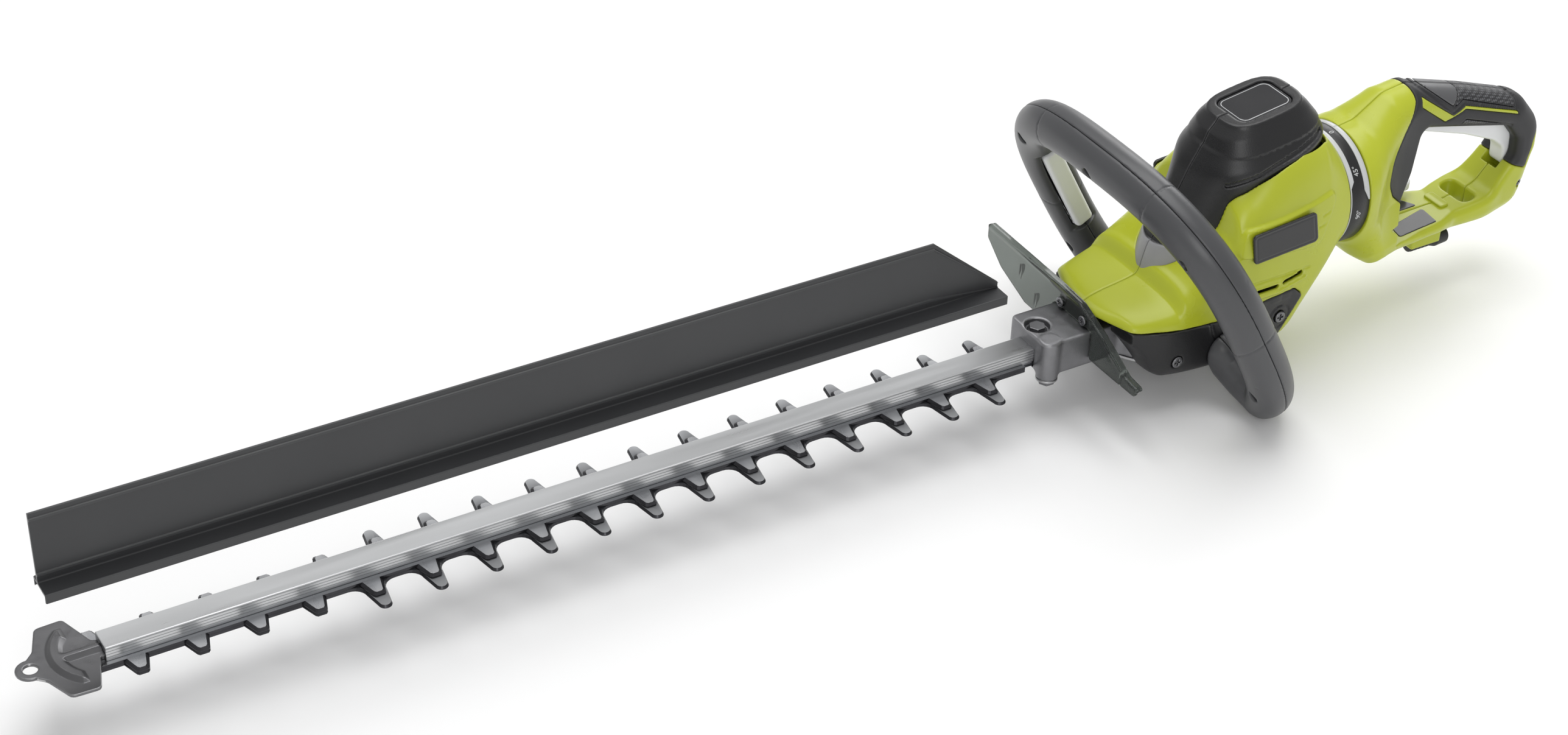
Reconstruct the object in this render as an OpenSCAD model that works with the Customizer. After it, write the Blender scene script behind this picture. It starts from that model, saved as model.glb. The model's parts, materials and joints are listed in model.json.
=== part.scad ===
// Electric hedge trimmer with a double-sided blade, a looped front handle,
// a rear handle that turns about the machine's length, and a clip-on sweeper.
// Design frame while modelling: X from blade tip to rear handle, Z up,
// Z = 0 on top of the lower blade, Y = 0 on the symmetry plane.

/* [Blade] */
// Distance between neighbouring teeth on one side
tooth_pitch = 34; // [30:0.5:38]
// Number of tooth positions on each side
tooth_count = 18; // [12:1:18]
// Width of the guide rail
rail_w = 16.4; // [14:0.1:20]
// Height of the guide rail's top above the lower blade
rail_top = 11.06; // [9:0.1:14]
// Thickness of one blade
blade_t = 1.92; // [1.5:0.02:1.94]
// Stroke of each blade to either side of the middle
stroke = 7; // [4:0.5:7]

/* [Body] */
// Half width of the housing at its widest
body_half_w = 50; // [46:0.5:52]
// Wall thickness of the plastic shells
wall = 2.4; // [2:0.1:2.4]

/* [Front handle] */
// Half width of the loop, measured to the middle of its tube
loop_half_w = 102.5; // [95:0.5:110]
// Radius of the loop's tube
loop_tube_r = 14.7; // [12:0.1:16]
// Angle by which the loop leans forward
loop_lean = 28.77; // [20:0.01:32]

/* [Rear handle] */
// Radius of the rotation ring
ring_r = 40.6; // [40:0.1:41]
// Half width of the grip
grip_half_w = 17; // [15:0.5:18]

/* [Sweeper] */
// Height of the sweeper's fin above its clip
fin_h = 44; // [30:1:50]
// Gap between the rail's top and the clip's underside at rest
sweeper_lift = 46.24; // [10:0.01:60]

/* [Hidden] */
// Row origin in the design frame: middle of the length, on the resting level
row_x = 497.5;
row_z = -36.642;

eps = 0.01;

lime = [0.66, 0.72, 0.16];
black = [0.13, 0.13, 0.14];
dark = [0.30, 0.30, 0.32];
light = [0.74, 0.75, 0.76];
metal = [0.66, 0.67, 0.69];
steel = [0.50, 0.51, 0.53];

// ---- blade stack ----
rail_x0 = 18.7;
rail_bottom = 2.1;
blade_gap = 0.1;
spine_half = 11;
finger_r = 4;
finger_y = 29.85;
blade_x0 = 10;
case_x0 = 618;
rail_x1 = case_x0 - 0.02;
screw_r = 2.5;
screw_pitch = 2.2 * tooth_pitch;
screw_x = [for (i = [0:7]) 42 + i * screw_pitch];
slot_half = stroke + screw_r + 0.4;

// ---- drive ----
gear_x = 715;
gear_module = 1.1;
gear_teeth = 70;
pinion_teeth = 10;
gear_r = gear_module * gear_teeth / 2;
pinion_r = gear_module * pinion_teeth / 2;
motor_x = gear_x + gear_r + pinion_r;
gear_z0 = 8;
gear_z1 = 14;
cam_r = 8;
shaft_r = 4;
rotor_shaft_r = 3;
running = 0.05;
yoke_in_x = cam_r + 2 * stroke + 0.5;
yoke_in_y = cam_r + stroke + 0.5;
chamber_r = 41.5;
pinion_pocket_r = 8;

// ---- body ----
split_z = 20.5;
pivot_z = 64.5;
ring_x0 = 834;
ring_x1 = 849.6;
bell_x = 850.2;
collar_r = 33;

// ---- loop ----
loop_x = 735.2;
loop_mid_s = 51.25;
loop_half_s = 97.4;
loop_power = 2.85;
loop_wall = 2.6;

// ---- helpers ----
function unit(v) = v / norm(v);

// Arc that rounds corner b between a and c; r is clipped to the edges' length.
function corner(a, b, c, r, k = 4) =
  let (u = unit(a - b), v = unit(c - b), h = acos(max(-1, min(1, u * v))) / 2)
  (r <= 0 || h > 88) ? [b] :
  let (d = min(r / tan(h), 0.48 * norm(a - b), 0.48 * norm(c - b)),
       rr = d * tan(h), m = b + unit(u + v) * rr / sin(h),
       p = b + u * d - m, q = b + v * d - m,
       a0 = atan2(p[1], p[0]), raw = atan2(q[1], q[0]) - a0,
       turn = raw > 180 ? raw - 360 : raw < -180 ? raw + 360 : raw)
  [for (i = [0:k]) m + rr * [cos(a0 + turn * i / k), sin(a0 + turn * i / k)]];

// Closed outline from corners [x, y, radius].
function rounded(c, k = 4) =
  let (n = len(c))
  [for (i = [0:n - 1])
    let (p = c[(i + n - 1) % n], q = c[i], r = c[(i + 1) % n])
    each corner([p[0], p[1]], [q[0], q[1]], [r[0], r[1]], q[2], k)];

// Solid through a list of closed rings with the same number of points.
module loft(rings, flip = false) {
  n = len(rings[0]);
  m = len(rings);
  points = [for (r = rings) each r];
  sides = [for (i = [0:m - 2], j = [0:n - 1])
    let (a = i * n + j, b = i * n + (j + 1) % n, c = b + n, d = a + n)
    each [[a, b, c], [a, c, d]]];
  ends = concat(cap(rings[0], 0, true), cap(rings[m - 1], (m - 1) * n, false));
  faces = concat(sides, ends);
  polyhedron(points, flip ? [for (f = faces) [f[2], f[1], f[0]]] : faces, convexity = 6);
}

// End of a loft whose ring is an outer arc followed by the inner arc back.
function cap(ring, first, start) =
  let (n = len(ring))
  [for (j = [0:n / 2 - 2])
    let (a = first + j, b = first + j + 1, c = first + n - 2 - j, d = first + n - 1 - j)
    each (start ? [[a, c, b], [a, d, c]] : [[a, b, c], [a, c, d]])];

// Extrusion of an outline in the X-Z plane, from y0 to y1.
module side_plate(outline, y0, y1) {
  translate([0, y1, 0]) rotate([90, 0, 0]) linear_extrude(y1 - y0) polygon(outline);
}

// Extrusion of an outline in the Y-Z plane, from x0 to x1.
module front_plate(outline, x0, x1) {
  translate([x0, 0, 0]) rotate([90, 0, 90]) linear_extrude(x1 - x0) polygon(outline);
}

module along_x(x, z, r, l, y = 0) {
  translate([x, y, z]) rotate([0, 90, 0]) cylinder(r = r, h = l, $fn = 64);
}

module along_y(x, z, r, y0, y1) {
  translate([x, y1, z]) rotate([90, 0, 0]) cylinder(r = r, h = y1 - y0, $fn = 32);
}

module upright(x, y, r, z0, z1, f = 48) {
  translate([x, y, z0]) cylinder(r = r, h = z1 - z0, $fn = f);
}

module to_row() {
  translate([-row_x, 0, -row_z]) children();
}

// ---- blade parts ----
near_first = 1;
trunc_last = 4;

function near_tooth(k) = tooth_pitch * k;
function far_tooth(k) = tooth_pitch * (k - 0.5);

// Finger that widens into the spine with curved gullets.
module finger(x, side, tip_y, tip_r) {
  root = tooth_pitch / 2 - 3;
  waist = 6;
  flank = [for (i = [0:5]) let (a = 90 * i / 5)
    [waist + (root - waist) * (1 - sin(a)), spine_half + 8 * (1 - cos(a))]];
  right = concat([[root, 8]], flank, [[tip_r, tip_y]]);
  left = [for (i = [len(right) - 1:-1:0]) [-right[i][0], right[i][1]]];
  translate([x, 0]) rotate(side < 0 ? 180 : 0) {
    polygon(concat(right, left));
    translate([0, tip_y]) circle(r = tip_r, $fn = 24);
  }
}

// Short cutting tooth with straight sides.
module short_tooth(x, side, tip_y, root_half, tip_half) {
  translate([x, 0]) rotate(side < 0 ? 180 : 0)
    polygon([[-root_half, 8], [root_half, 8], [tip_half, tip_y], [-tip_half, tip_y]]);
}

module blade_outline(fingers) {
  translate([blade_x0, -spine_half]) square([case_x0 - 8 - blade_x0, 2 * spine_half]);
  translate([case_x0 - 10, -7]) square([gear_x - yoke_in_x - case_x0 + 10, 14]);
  for (k = [near_first:tooth_count - 1]) {
    if (fingers && k > trunc_last) finger(near_tooth(k), -1, finger_y, finger_r);
    else short_tooth(near_tooth(k), -1, k > trunc_last ? 24 : 22.5, 8, 3.4);
  }
  for (k = [near_first:tooth_count]) {
    if (fingers && k > trunc_last + 1) finger(far_tooth(k), 1, finger_y, finger_r);
    else short_tooth(far_tooth(k), 1, k > trunc_last ? 24 : 22.5, 8, 3.4);
  }
}

module yoke() {
  ox = yoke_in_x + 3;
  oy = yoke_in_y + 3;
  difference() {
    translate([gear_x - ox, -oy]) square([2 * ox, 2 * oy]);
    translate([gear_x - yoke_in_x, -yoke_in_y]) square([2 * yoke_in_x, 2 * yoke_in_y]);
  }
}

module blade(z0, fingers) {
  translate([0, 0, z0]) linear_extrude(blade_t)
    difference() {
      union() {
        blade_outline(fingers);
        yoke();
      }
      for (x = screw_x) translate([x - slot_half, -screw_r - 0.3])
        square([2 * slot_half, 2 * screw_r + 0.6]);
    }
}

module upper_blade() to_row() { color(metal) blade(blade_gap, false); }
module lower_blade() to_row() { color(steel) blade(-blade_t, true); }

module guide_rail() to_row() {
  half = rail_w / 2;
  groove = 0.45;
  steps = 5;
  dz = (rail_top - rail_bottom - 1.6) / steps;
  side = [for (i = [0:steps - 1]) let (z = rail_bottom + 0.8 + i * dz)
    each [[half, z], [half, z + dz - 0.5], [half - groove, z + dz - 0.4], [half - groove, z + dz - 0.1]]];
  outline = concat([[half, rail_bottom]], side, [[half, rail_top - 0.6], [half - 0.6, rail_top]]);
  other = [for (i = [len(outline) - 1:-1:0]) [-outline[i][0], outline[i][1]]];
  color(metal) difference() {
    front_plate(concat(outline, other), rail_x0, rail_x1);
    for (x = screw_x) upright(x, 0, screw_r + 0.02, rail_bottom - 1, rail_top - 2);
  }
}

module blade_screws() to_row() {
  head_z = -blade_t - 0.2;
  color(steel) for (x = screw_x) {
    upright(x, 0, screw_r, head_z, rail_top - 2.4);
    upright(x, 0, 4.4, head_z - 2.2, head_z);
  }
}

// ---- tip ----
tip_z = 4.4;
tip_t = 2;

module tip_plate() to_row() {
  lobe_x = -20;
  half = rounded([
    [rail_x0 + 3, -6, 0], [rail_x0 + 3, 6, 0], [16, 8, 2], [8, 31.5, 3], [-8, 30.8, 4],
    [-15, 13, 6], [-20, 8, 3], [-20, -8, 3], [-15, -13, 6], [-8, -30.8, 4], [8, -31.5, 3],
    [16, -8, 2]]);
  color(metal) difference() {
    union() {
      translate([0, 0, tip_z]) linear_extrude(tip_t) {
        polygon(half);
        translate([lobe_x, 0]) circle(r = 8.2, $fn = 48);
      }
      translate([0, 0, tip_z + tip_t - eps]) linear_extrude(1.6) intersection() {
        difference() {
          translate([22, 0]) circle(r = 31, $fn = 64);
          translate([22, 0]) circle(r = 24, $fn = 64);
        }
        translate([-12, -23]) square([15, 46]);
      }
      translate([-4, -2.6, tip_z + tip_t - eps]) cube([20, 5.2, 1.6]);
      translate([rail_x0 - 8, -6, rail_bottom]) cube([8, 12, tip_z - rail_bottom + eps]);
    }
    upright(lobe_x, 0, 4, 0, 12);
    upright(rail_x0 - 4, 0, screw_r + 0.02, 0, tip_z);
    translate([rail_x0 - 0.02, -rail_w, 2]) cube([20, 2 * rail_w, 20]);
  }
}

module tip_screws() to_row() {
  color(steel) {
    upright(rail_x0 - 4, 0, screw_r, rail_bottom, tip_z - 0.02);
  }
}

// ---- gear case ----
module case_outline(r_chamber, r_pocket, half_nose) {
  translate([case_x0, -half_nose]) square([gear_x - case_x0, 2 * half_nose]);
  translate([gear_x, 0]) circle(r = r_chamber, $fn = 96);
  translate([motor_x, 0]) circle(r = r_pocket, $fn = 48);
}

lug_x = 624.5;
lug_y = -14.5;
case_bottom = -4.2;
case_top = 19.8;

module gear_case() to_row() {
  color(metal) difference() {
    union() {
      translate([0, 0, case_bottom]) linear_extrude(case_top - case_bottom)
        case_outline(chamber_r + 3, pinion_pocket_r + 2.4, 20);
      upright(lug_x, lug_y, 7, -7.5, 16);
      for (s = [-1, 1]) translate([guard_x + guard_t + 0.02, s * guard_screw_y - 4, case_top - 1])
        cube([3.2, 8, 9.4]);
    }
    // blade slot through the nose
    translate([case_x0 - 10, -8, -3.4]) cube([74, 16, 6.6]);
    for (s = [-1, 1]) along_x(guard_x, guard_screw_z, 1.82, 9, s * guard_screw_y);
    translate([0, 0, -3.4 - 5]) linear_extrude(17.6 + 3.4 + 5) {
      translate([gear_x, 0]) circle(r = chamber_r, $fn = 96);
      translate([motor_x, 0]) circle(r = pinion_pocket_r, $fn = 48);
    }
    upright(gear_x, 0, shaft_r + running, 10, 30);
    upright(motor_x, 0, rotor_shaft_r + running, 10, 30);
    upright(627, 3, 8, 15.5, 30);
    upright(627, 3, 2.6, 5, 30);
    upright(lug_x, lug_y, 2.62, -20, 12.02);
  }
}

module gear_case_cover() to_row() {
  color(metal) difference() {
    translate([0, 0, case_bottom - 1.6]) linear_extrude(1.6 - 0.02) {
      translate([gear_x, 0]) circle(r = chamber_r + 3, $fn = 96);
      translate([motor_x, 0]) circle(r = pinion_pocket_r + 2.4, $fn = 48);
    }
    upright(gear_x, 0, shaft_r + running, -20, 0);
  }
}

module case_bolts() to_row() {
  color(steel) {
    upright(627, 3, 5.2, 15.5, 18.6, 6);
    upright(627, 3, 2.6, 5, 15.5);
    upright(lug_x, lug_y, 2.6, -12.6, 12);
  }
}

module case_nut() to_row() {
  color(steel) difference() {
    union() {
      upright(lug_x, lug_y, 7, -8.7, -7.52);
      upright(lug_x, lug_y, 5.4, -11.8, -8.71, 6);
    }
    upright(lug_x, lug_y, 2.62, -20, 0);
  }
}

// ---- drive ----
module gear_2d(teeth, phase) {
  rp = gear_module * teeth / 2;
  root = rp - 1.3 * gear_module;
  tip = rp + 0.85 * gear_module;
  step = 360 / teeth;
  polygon([for (i = [0:teeth - 1]) let (a = phase + i * step)
    each [[root * cos(a - 0.34 * step), root * sin(a - 0.34 * step)],
          [tip * cos(a - 0.11 * step), tip * sin(a - 0.11 * step)],
          [tip * cos(a + 0.11 * step), tip * sin(a + 0.11 * step)],
          [root * cos(a + 0.34 * step), root * sin(a + 0.34 * step)]]]);
}

module drive_gear() to_row() {
  color(steel) translate([gear_x, 0, gear_z0]) difference() {
    linear_extrude(gear_z1 - gear_z0) gear_2d(gear_teeth, 0);
    cylinder(r = shaft_r, h = 60, center = true, $fn = 48);
    for (a = [0:60:300]) rotate(a) translate([22, 0, 0])
      cylinder(r = 7, h = 60, center = true, $fn = 32);
  }
}

module crankshaft() to_row() {
  color(steel) {
    upright(gear_x, 0, shaft_r, -5.7, 19.4);
    upright(gear_x, -stroke, cam_r, -blade_t, 0);
    upright(gear_x, stroke, cam_r, blade_gap, blade_gap + blade_t);
    upright(gear_x, 0, 7, blade_gap + blade_t + 0.3, gear_z0);
  }
}

module motor_pinion() to_row() {
  color(steel) translate([motor_x, 0, gear_z0 - 0.5]) difference() {
    linear_extrude(gear_z1 - gear_z0 + 1) gear_2d(pinion_teeth, 18);
    cylinder(r = rotor_shaft_r, h = 60, center = true, $fn = 48);
  }
}

module armature() to_row() {
  color(steel) {
    upright(motor_x, 0, rotor_shaft_r, 6, 113);
    difference() {
      upright(motor_x, 0, 14, 46, 86);
      upright(motor_x, 0, rotor_shaft_r, 40, 90);
      for (a = [0:30:330]) translate([motor_x, 0, 40]) rotate(a) translate([13.2, -0.8, 0])
        cube([3, 1.6, 60]);
    }
  }
}

module commutator() to_row() {
  color([0.72, 0.45, 0.2]) difference() {
    upright(motor_x, 0, 9, 92, 101);
    upright(motor_x, 0, rotor_shaft_r, 80, 110);
  }
}

module cooling_fan() to_row() {
  color(black) difference() {
    union() {
      upright(motor_x, 0, 24, 29, 31);
      upright(motor_x, 0, 7, 31, 39);
      for (a = [0:30:330]) translate([motor_x, 0, 31 - eps]) rotate(a) translate([6, -0.8, 0])
        cube([16.5, 1.6, 7]);
    }
    upright(motor_x, 0, rotor_shaft_r, 20, 60);
  }
}

module motor_field() to_row() {
  color(steel) difference() {
    upright(motor_x, 0, 24, 46, 86, 72);
    upright(motor_x, 0, 14.6, 40, 90);
    for (s = [-1, 1]) translate([motor_x - 7, s * 19 - 2.2, 40]) cube([14, 4.4, 60]);
  }
}

module motor_bearings() to_row() {
  color(metal) for (z = [case_top + 0.02, 105]) difference() {
    upright(motor_x, 0, 8, z, z + 6);
    upright(motor_x, 0, rotor_shaft_r + running, z - 5, z + 15);
  }
}

module brush_holders() to_row() {
  color([0.7, 0.55, 0.2]) for (s = [-1, 1])
    translate([motor_x - 4, s * 18.3 - 8.8, 93]) cube([8, 17.6, 7]);
}

// ---- shells of the body ----
// Rows of the upper shell: x, half width, height and half width of the top opening's edge,
// bottom height, height of the widest level, exponent of the section's curve
shell_rows = [
  [657, 16, 29, 0.05, 12, split_z, 4], [662, 28, 31.5, 0.05, 8, split_z, 4],
  [668.5, 41.5, 33.2, 0.05, 0, split_z, 4], [674, 43.5, 34.2, 0.05, -5, split_z, 4],
  [684, 46.2, 35.6, 0.05, -8, split_z, 4], [697, 49, 38.2, 0.05, -9, split_z, 4],
  [703, 49.5, 47, 3, -10, split_z, 4], [708, 49.7, 50, 14, -10, split_z, 4],
  [716, 49.9, 56, 20, -10, split_z, 4], [726, 50, 64, 23, -10, split_z, 4],
  [737, 50, 76, 25.5, -10, split_z, 4], [742, 50, 93, 27.5, -10, split_z, 4],
  [753, 50, 101, 32, -10, split_z, 4], [771, 49.5, 112, 36.4, -10, split_z, 4],
  [785.5, 48, 117.4, 35.6, -17, split_z, 4]];
tail_rows = [
  [785.5, 48, 117.4, 35.6, -17, split_z, 4], [790, 47.6, 118.6, 34.8, -14, 22, 4],
  [799, 46.8, 119.5, 33.6, -2, 30, 3.7], [811, 45.2, 119.5, 29.5, 10, 41, 3],
  [820, 43.5, 115, 22.5, 16, 52, 2.6], [828, 41.8, 110, 12, 21, 61, 2.2],
  [832, 40.8, 106.5, 0.05, 23.4, pivot_z, 2], [834, 40.4, 105, 0.05, 24.1, pivot_z, 2]];
// Rows of the lower base, laid out like the shell's
base_rows = [
  [668.5, 41.5, 30, 0.05, 16, split_z, 6], [676, 44.6, 30, 0.05, 5.5, split_z, 7],
  [684, 47.6, 30, 0.05, -8.5, split_z, 8], [692, 49, 30, 0.05, -13, split_z, 8],
  [722, 50, 30, 0.05, -16.4, split_z, 8], [762, 49.6, 30, 0.05, -18.2, split_z, 8],
  [785.2, 48, 30, 0.05, -17, split_z, 6]];
arc_steps = 11;

// Half arc of the body at row r, inset by t, on side s, from angle a0 to a1.
function body_arc(r, t, s, a0, a1) =
  let (p = r[6],
       half = r[1] * body_half_w / 50,
       open = min(0.98, r[3] / half),
       lift = pow(1 - pow(open, p), 1 / p),
       up = (r[2] - r[5]) / lift - t,
       down = r[5] - r[4] - t,
       top = acos(pow(open, p / 2)),
       last = a1 > 0 ? min(a1, top) : a1)
  [for (i = [0:arc_steps]) let (a = a0 + (last - a0) * i / arc_steps,
       c = pow(max(0, cos(a)), 2 / p), v = pow(abs(sin(a)), 2 / p))
    [r[0], s * max(0.05, (half - t) * c), r[5] + (a < 0 ? -down : up) * v]];

function body_ring(r, s, a0, a1) =
  let (inner = body_arc(r, wall, s, a0, a1))
  concat(body_arc(r, 0, s, a0, a1), [for (i = [arc_steps:-1:0]) inner[i]]);

module housing(s) {
  color(lime) {
    loft([for (r = shell_rows) body_ring(r, s, 0, 90)], s > 0);
    translate([-eps, 0, 0]) loft([for (r = tail_rows) body_ring(r, s, -90, 90)], s > 0);
  }
}

module housing_left() to_row() { housing(-1); }
module housing_right() to_row() { housing(1); }

module base(s) {
  color(black) difference() {
    translate([0, 0, -0.02]) loft([for (r = base_rows) body_ring(r, s, -90, 0)], s > 0);
    translate([0, 0, case_bottom - 2]) linear_extrude(60)
      case_outline(chamber_r + 3.4, pinion_pocket_r + 2.8, 20.4);
  }
}

module base_left() to_row() { base(-1); }
module base_right() to_row() { base(1); }

// ---- motor cover: rows of local height, front, rear, half width, exponent ----
cover_tilt = 8.73;
cover_x = 755;
cover_rows = [
  [50, -41, 72, 28, 2.1], [57, -42.4, 74, 28.6, 2.1], [65, -39.2, 76, 29, 2.1],
  [78, -29.7, 79.5, 29.6, 2.1], [94, -17.8, 83, 32, 2.1], [101, -13.1, 84.4, 33.6, 2.2],
  [110, -7.2, 85.5, 33.6, 2.4], [120.4, 2.4, 81.5, 30.8, 2.7], [120.6, 0.3, 80.8, 30, 2.7],
  [129.9, 7.2, 76, 26, 2.7], [135.7, 14.8, 71, 21.5, 2.7], [137.4, 19.9, 68, 19, 2.7]];

function cover_arc(r, t, s) =
  let (m = (r[1] + r[2]) / 2, h = (r[2] - r[1]) / 2 - t, w = r[3] - t, p = 2 / r[4])
  [for (i = [0:arc_steps]) let (a = 180 * i / arc_steps)
    [m - h * sign(cos(a)) * pow(abs(cos(a)), p), s * max(0.05, w * pow(max(0, sin(a)), p)), r[0]]];

function cover_ring(r, s) =
  let (inner = cover_arc(r, wall, s))
  concat(cover_arc(r, 0, s), [for (i = [arc_steps:-1:0]) inner[i]]);

module in_cover() {
  translate([cover_x, 0, 0]) rotate([0, -cover_tilt, 0]) children();
}

module motor_cover(s) {
  color(black) in_cover() loft([for (r = cover_rows) cover_ring(r, s)], s < 0);
}

module motor_cover_left() to_row() { motor_cover(-1); }
module motor_cover_right() to_row() { motor_cover(1); }

module cover_badge() to_row() {
  color(dark) in_cover() translate([44, 0, 134.6]) linear_extrude(1.4)
    polygon(rounded([[-20.6, -15.4, 7], [20.6, -15.4, 7], [20.6, 15.4, 7], [-20.6, 15.4, 7]]));
}

module side_badges() to_row() {
  plate = rounded([[747, 60, 3], [795, 68.5, 3], [794.5, 84, 3], [746, 77.5, 3]]);
  color(dark) for (s = [-1, 1]) side_plate(plate, s > 0 ? 50.05 : -51.4, s > 0 ? 51.4 : -50.05);
}

module housing_screws() to_row() {
  color(steel) for (s = [-1, 1], p = [[699, 0], [779, 9]])
    along_y(p[0], p[1], 3.4, s > 0 ? 49.9 : -52.4, s > 0 ? 52.4 : -49.9);
}

// ---- hand guard ----
guard_x = 651;
guard_t = 2.4;
rim_depth = 5.4;
guard_top = [[95, 36, 1], [15, 34.6, 8], [-6.6, 33, 14], [-31, 23, 8], [-58, 8.6, 8], [-70, 7.4, 2]];
guard_edge = rounded(concat(guard_top, [
  [-70, 4.8, 0], [-69, 1, 3], [-50, 0.6, 6], [-20.6, 0.4, 2], [-20.6, 20.2, 2], [20.6, 20.2, 2], [20.6, 1, 2],
  [50, 1.6, 4], [78.2, 12.4, 14], [95, 26, 3]]));
guard_rim = rounded(concat(guard_top, [
  [-70, 4.8, 0], [-58, 6, 8], [-31.4, 20.4, 8], [-7.4, 30.4, 14], [15, 32, 8], [95, 33.4, 1]]));
guard_stays = [[58.4, 16.9], [40.4, 5.3], [-52.2, 3.1]];
guard_screw_y = 12;
guard_screw_z = 24.5;

module hand_guard() to_row() {
  color([0.45, 0.5, 0.25]) difference() {
    union() {
      front_plate(guard_edge, guard_x, guard_x + guard_t);
      front_plate(guard_rim, guard_x, guard_x + rim_depth);
      for (p = guard_stays) translate([guard_x, p[0] - 1, p[1]]) cube([rim_depth, 2, 6]);
    }
    for (s = [-1, 1]) along_x(guard_x - 5, guard_screw_z, 1.82, 20, s * guard_screw_y);
  }
}

module guard_screws() to_row() {
  color(steel) for (s = [-1, 1]) {
    along_x(guard_x - 1.8, guard_screw_z, 3.4, 1.78, s * guard_screw_y);
    along_x(guard_x - 0.1, guard_screw_z, 1.8, 5.4, s * guard_screw_y);
  }
}

// ---- loop handle ----
function loop_point(y, s, n) =
  [loop_x - sin(loop_lean) * s + cos(loop_lean) * n, y, cos(loop_lean) * s + sin(loop_lean) * n];

function power_curve(v, p) = sign(v) * pow(abs(v), 2 / p);

arm_in = [[47.5, -2], [53, -10], [64, -18.5]];
loop_sweep = 225;
loop_steps = 40;
loop_arc = [for (i = [0:loop_steps]) let (a = -(loop_sweep - 180) + (2 * loop_sweep - 180) * i / loop_steps)
  [loop_half_w * power_curve(cos(a), loop_power),
   loop_mid_s + loop_half_s * power_curve(sin(a), loop_power)]];
loop_path = concat(arm_in, loop_arc, [for (i = [2:-1:0]) [-arm_in[i][0], arm_in[i][1]]]);

function path_dir(i) =
  unit(loop_path[min(i + 1, len(loop_path) - 1)] - loop_path[max(i - 1, 0)]);

// Slot on the inner face where a switch paddle sits, on both legs.
paddle_s0 = 22;
paddle_s1 = 98;
function in_slot(p) = abs(p[0]) > 80 && p[1] > paddle_s0 - 7 && p[1] < paddle_s1 + 6;

half_steps = 8;
// Half ring of the tube at path point i: face +1 is the rear half, -1 the front half.
function tube_ring(i, face) =
  let (p = loop_path[i], d = path_dir(i), out = [d[1], -d[0]],
       last = in_slot(p) ? 146 : 180)
  concat(
    [for (k = [0:half_steps]) let (a = last * k / half_steps)
      tube_point(p, out, face, a, loop_tube_r)],
    [for (k = [half_steps:-1:0]) let (a = last * k / half_steps)
      tube_point(p, out, face, a, loop_tube_r - loop_wall)]);

function tube_point(p, out, face, a, r) =
  let (q = p + out * (r * cos(a)))
  loop_point(q[0], q[1], face * (r * sin(a) + 0.02));

module loop_half(face) {
  color(dark) difference() {
    loft([for (i = [0:len(loop_path) - 1]) tube_ring(i, face)], face < 0);
    // the arms end on the sides of the base
    translate([600, -body_half_w - 0.05, -60]) cube([240, 2 * body_half_w + 0.1, 100]);
  }
}

module loop_front_half() to_row() { loop_half(-1); }
module loop_rear_half() to_row() { loop_half(1); }

module in_loop(y, s) {
  translate(loop_point(y, s, 0)) rotate([0, 90 - loop_lean, 0]) children();
}

module loop_screws() to_row() {
  color(steel) for (p = [[0, 148.5], [84, 124], [-84, 124], [97.7, 4], [-97.7, 4]])
    in_loop(p[0], p[1]) translate([0, 0, -11.6]) cylinder(r = 2, h = 23.2, $fn = 24);
}

module paddle(s) {
  mid = (paddle_s0 + paddle_s1) / 2;
  l = paddle_s1 - paddle_s0 - 8;
  color(light) in_loop(s * (loop_half_w - 12.3), mid)
    translate([-l / 2, -2.6, -6]) cube([l, 5.2, 12]);
}

module left_paddle() to_row() { paddle(-1); }
module right_paddle() to_row() { paddle(1); }

module front_switch() to_row() {
  color(black) translate([708, -9, case_top + 0.02]) cube([20, 18, 13]);
}

// ---- rotation ring ----
module ring(x0, x1, r0, r1) {
  difference() {
    along_x(x0, pivot_z, r1, x1 - x0);
    along_x(x0 - 1, pivot_z, r0, x1 - x0 + 2);
  }
}

module ring_bezel() to_row() {
  color(light) {
    ring(ring_x0 + 0.04, ring_x1, 37.2, ring_r - 1.4);
    ring(ring_x0 + 0.04, ring_x0 + 2.6, ring_r - 1.41, ring_r - 0.4);
    ring(ring_x1 - 4, ring_x1, ring_r - 1.41, ring_r - 0.4);
  }
}

module angle_ring() to_row() {
  color(black) ring(ring_x0 + 2.65, ring_x1 - 4.05, ring_r - 1.38, ring_r);
}

module pivot_collar() to_row() {
  color(black) ring(ring_x0 + 0.04, ring_x1, collar_r + running, 37.18);
}

// ---- rear handle ----
handle_side = rounded([
  [bell_x, 104.6, 2], [862, 106.5, 12], [883, 121, 12], [903, 126.4, 16], [955, 109.5, 40],
  [1004, 92.5, 24], [1022, 70, 22], [1023.5, 50, 20], [1009, 10, 10], [1001, -3, 6],
  [905, -5, 30], [880, 2, 20], [860, 14, 12], [bell_x, 24.4, 2]]);
handle_plan = rounded([
  [bell_x, 41, 2], [862, 40, 14], [885, 30, 20], [908, 18.2, 16], [960, grip_half_w, 60],
  [1024, grip_half_w, 7], [1024, -grip_half_w, 7], [960, -grip_half_w, 60], [908, -18.2, 16],
  [885, -30, 20], [862, -40, 14], [bell_x, -41, 2]]);
handle_front = rounded([[41, -6, 34], [41, 127, 40], [-41, 127, 40], [-41, -6, 34]], 10);
chamfer_start = [[56, -8], [60, -8], [60, -20], [56, -20]];
chamfer_full = [[0, -4.1], [60, 32.8], [60, -40], [0, -40]];
chamfer_x = 876;
window = rounded([
  [909, 94.5, 6], [988, 75, 8], [999, 62, 8], [1000, 48, 10], [981, 26, 16], [944, 20.5, 14],
  [888, 19.5, 3], [898, 41, 8], [906, 64, 12]]);
grip_region = [
  [897, 140], [909, 112], [903, 88], [893, 62], [893, 50], [903, 40], [911, 60],
  [914, 84], [978, 68], [994, 62], [995, 46], [1018, 37], [1040, 42], [1040, 140]];
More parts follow.
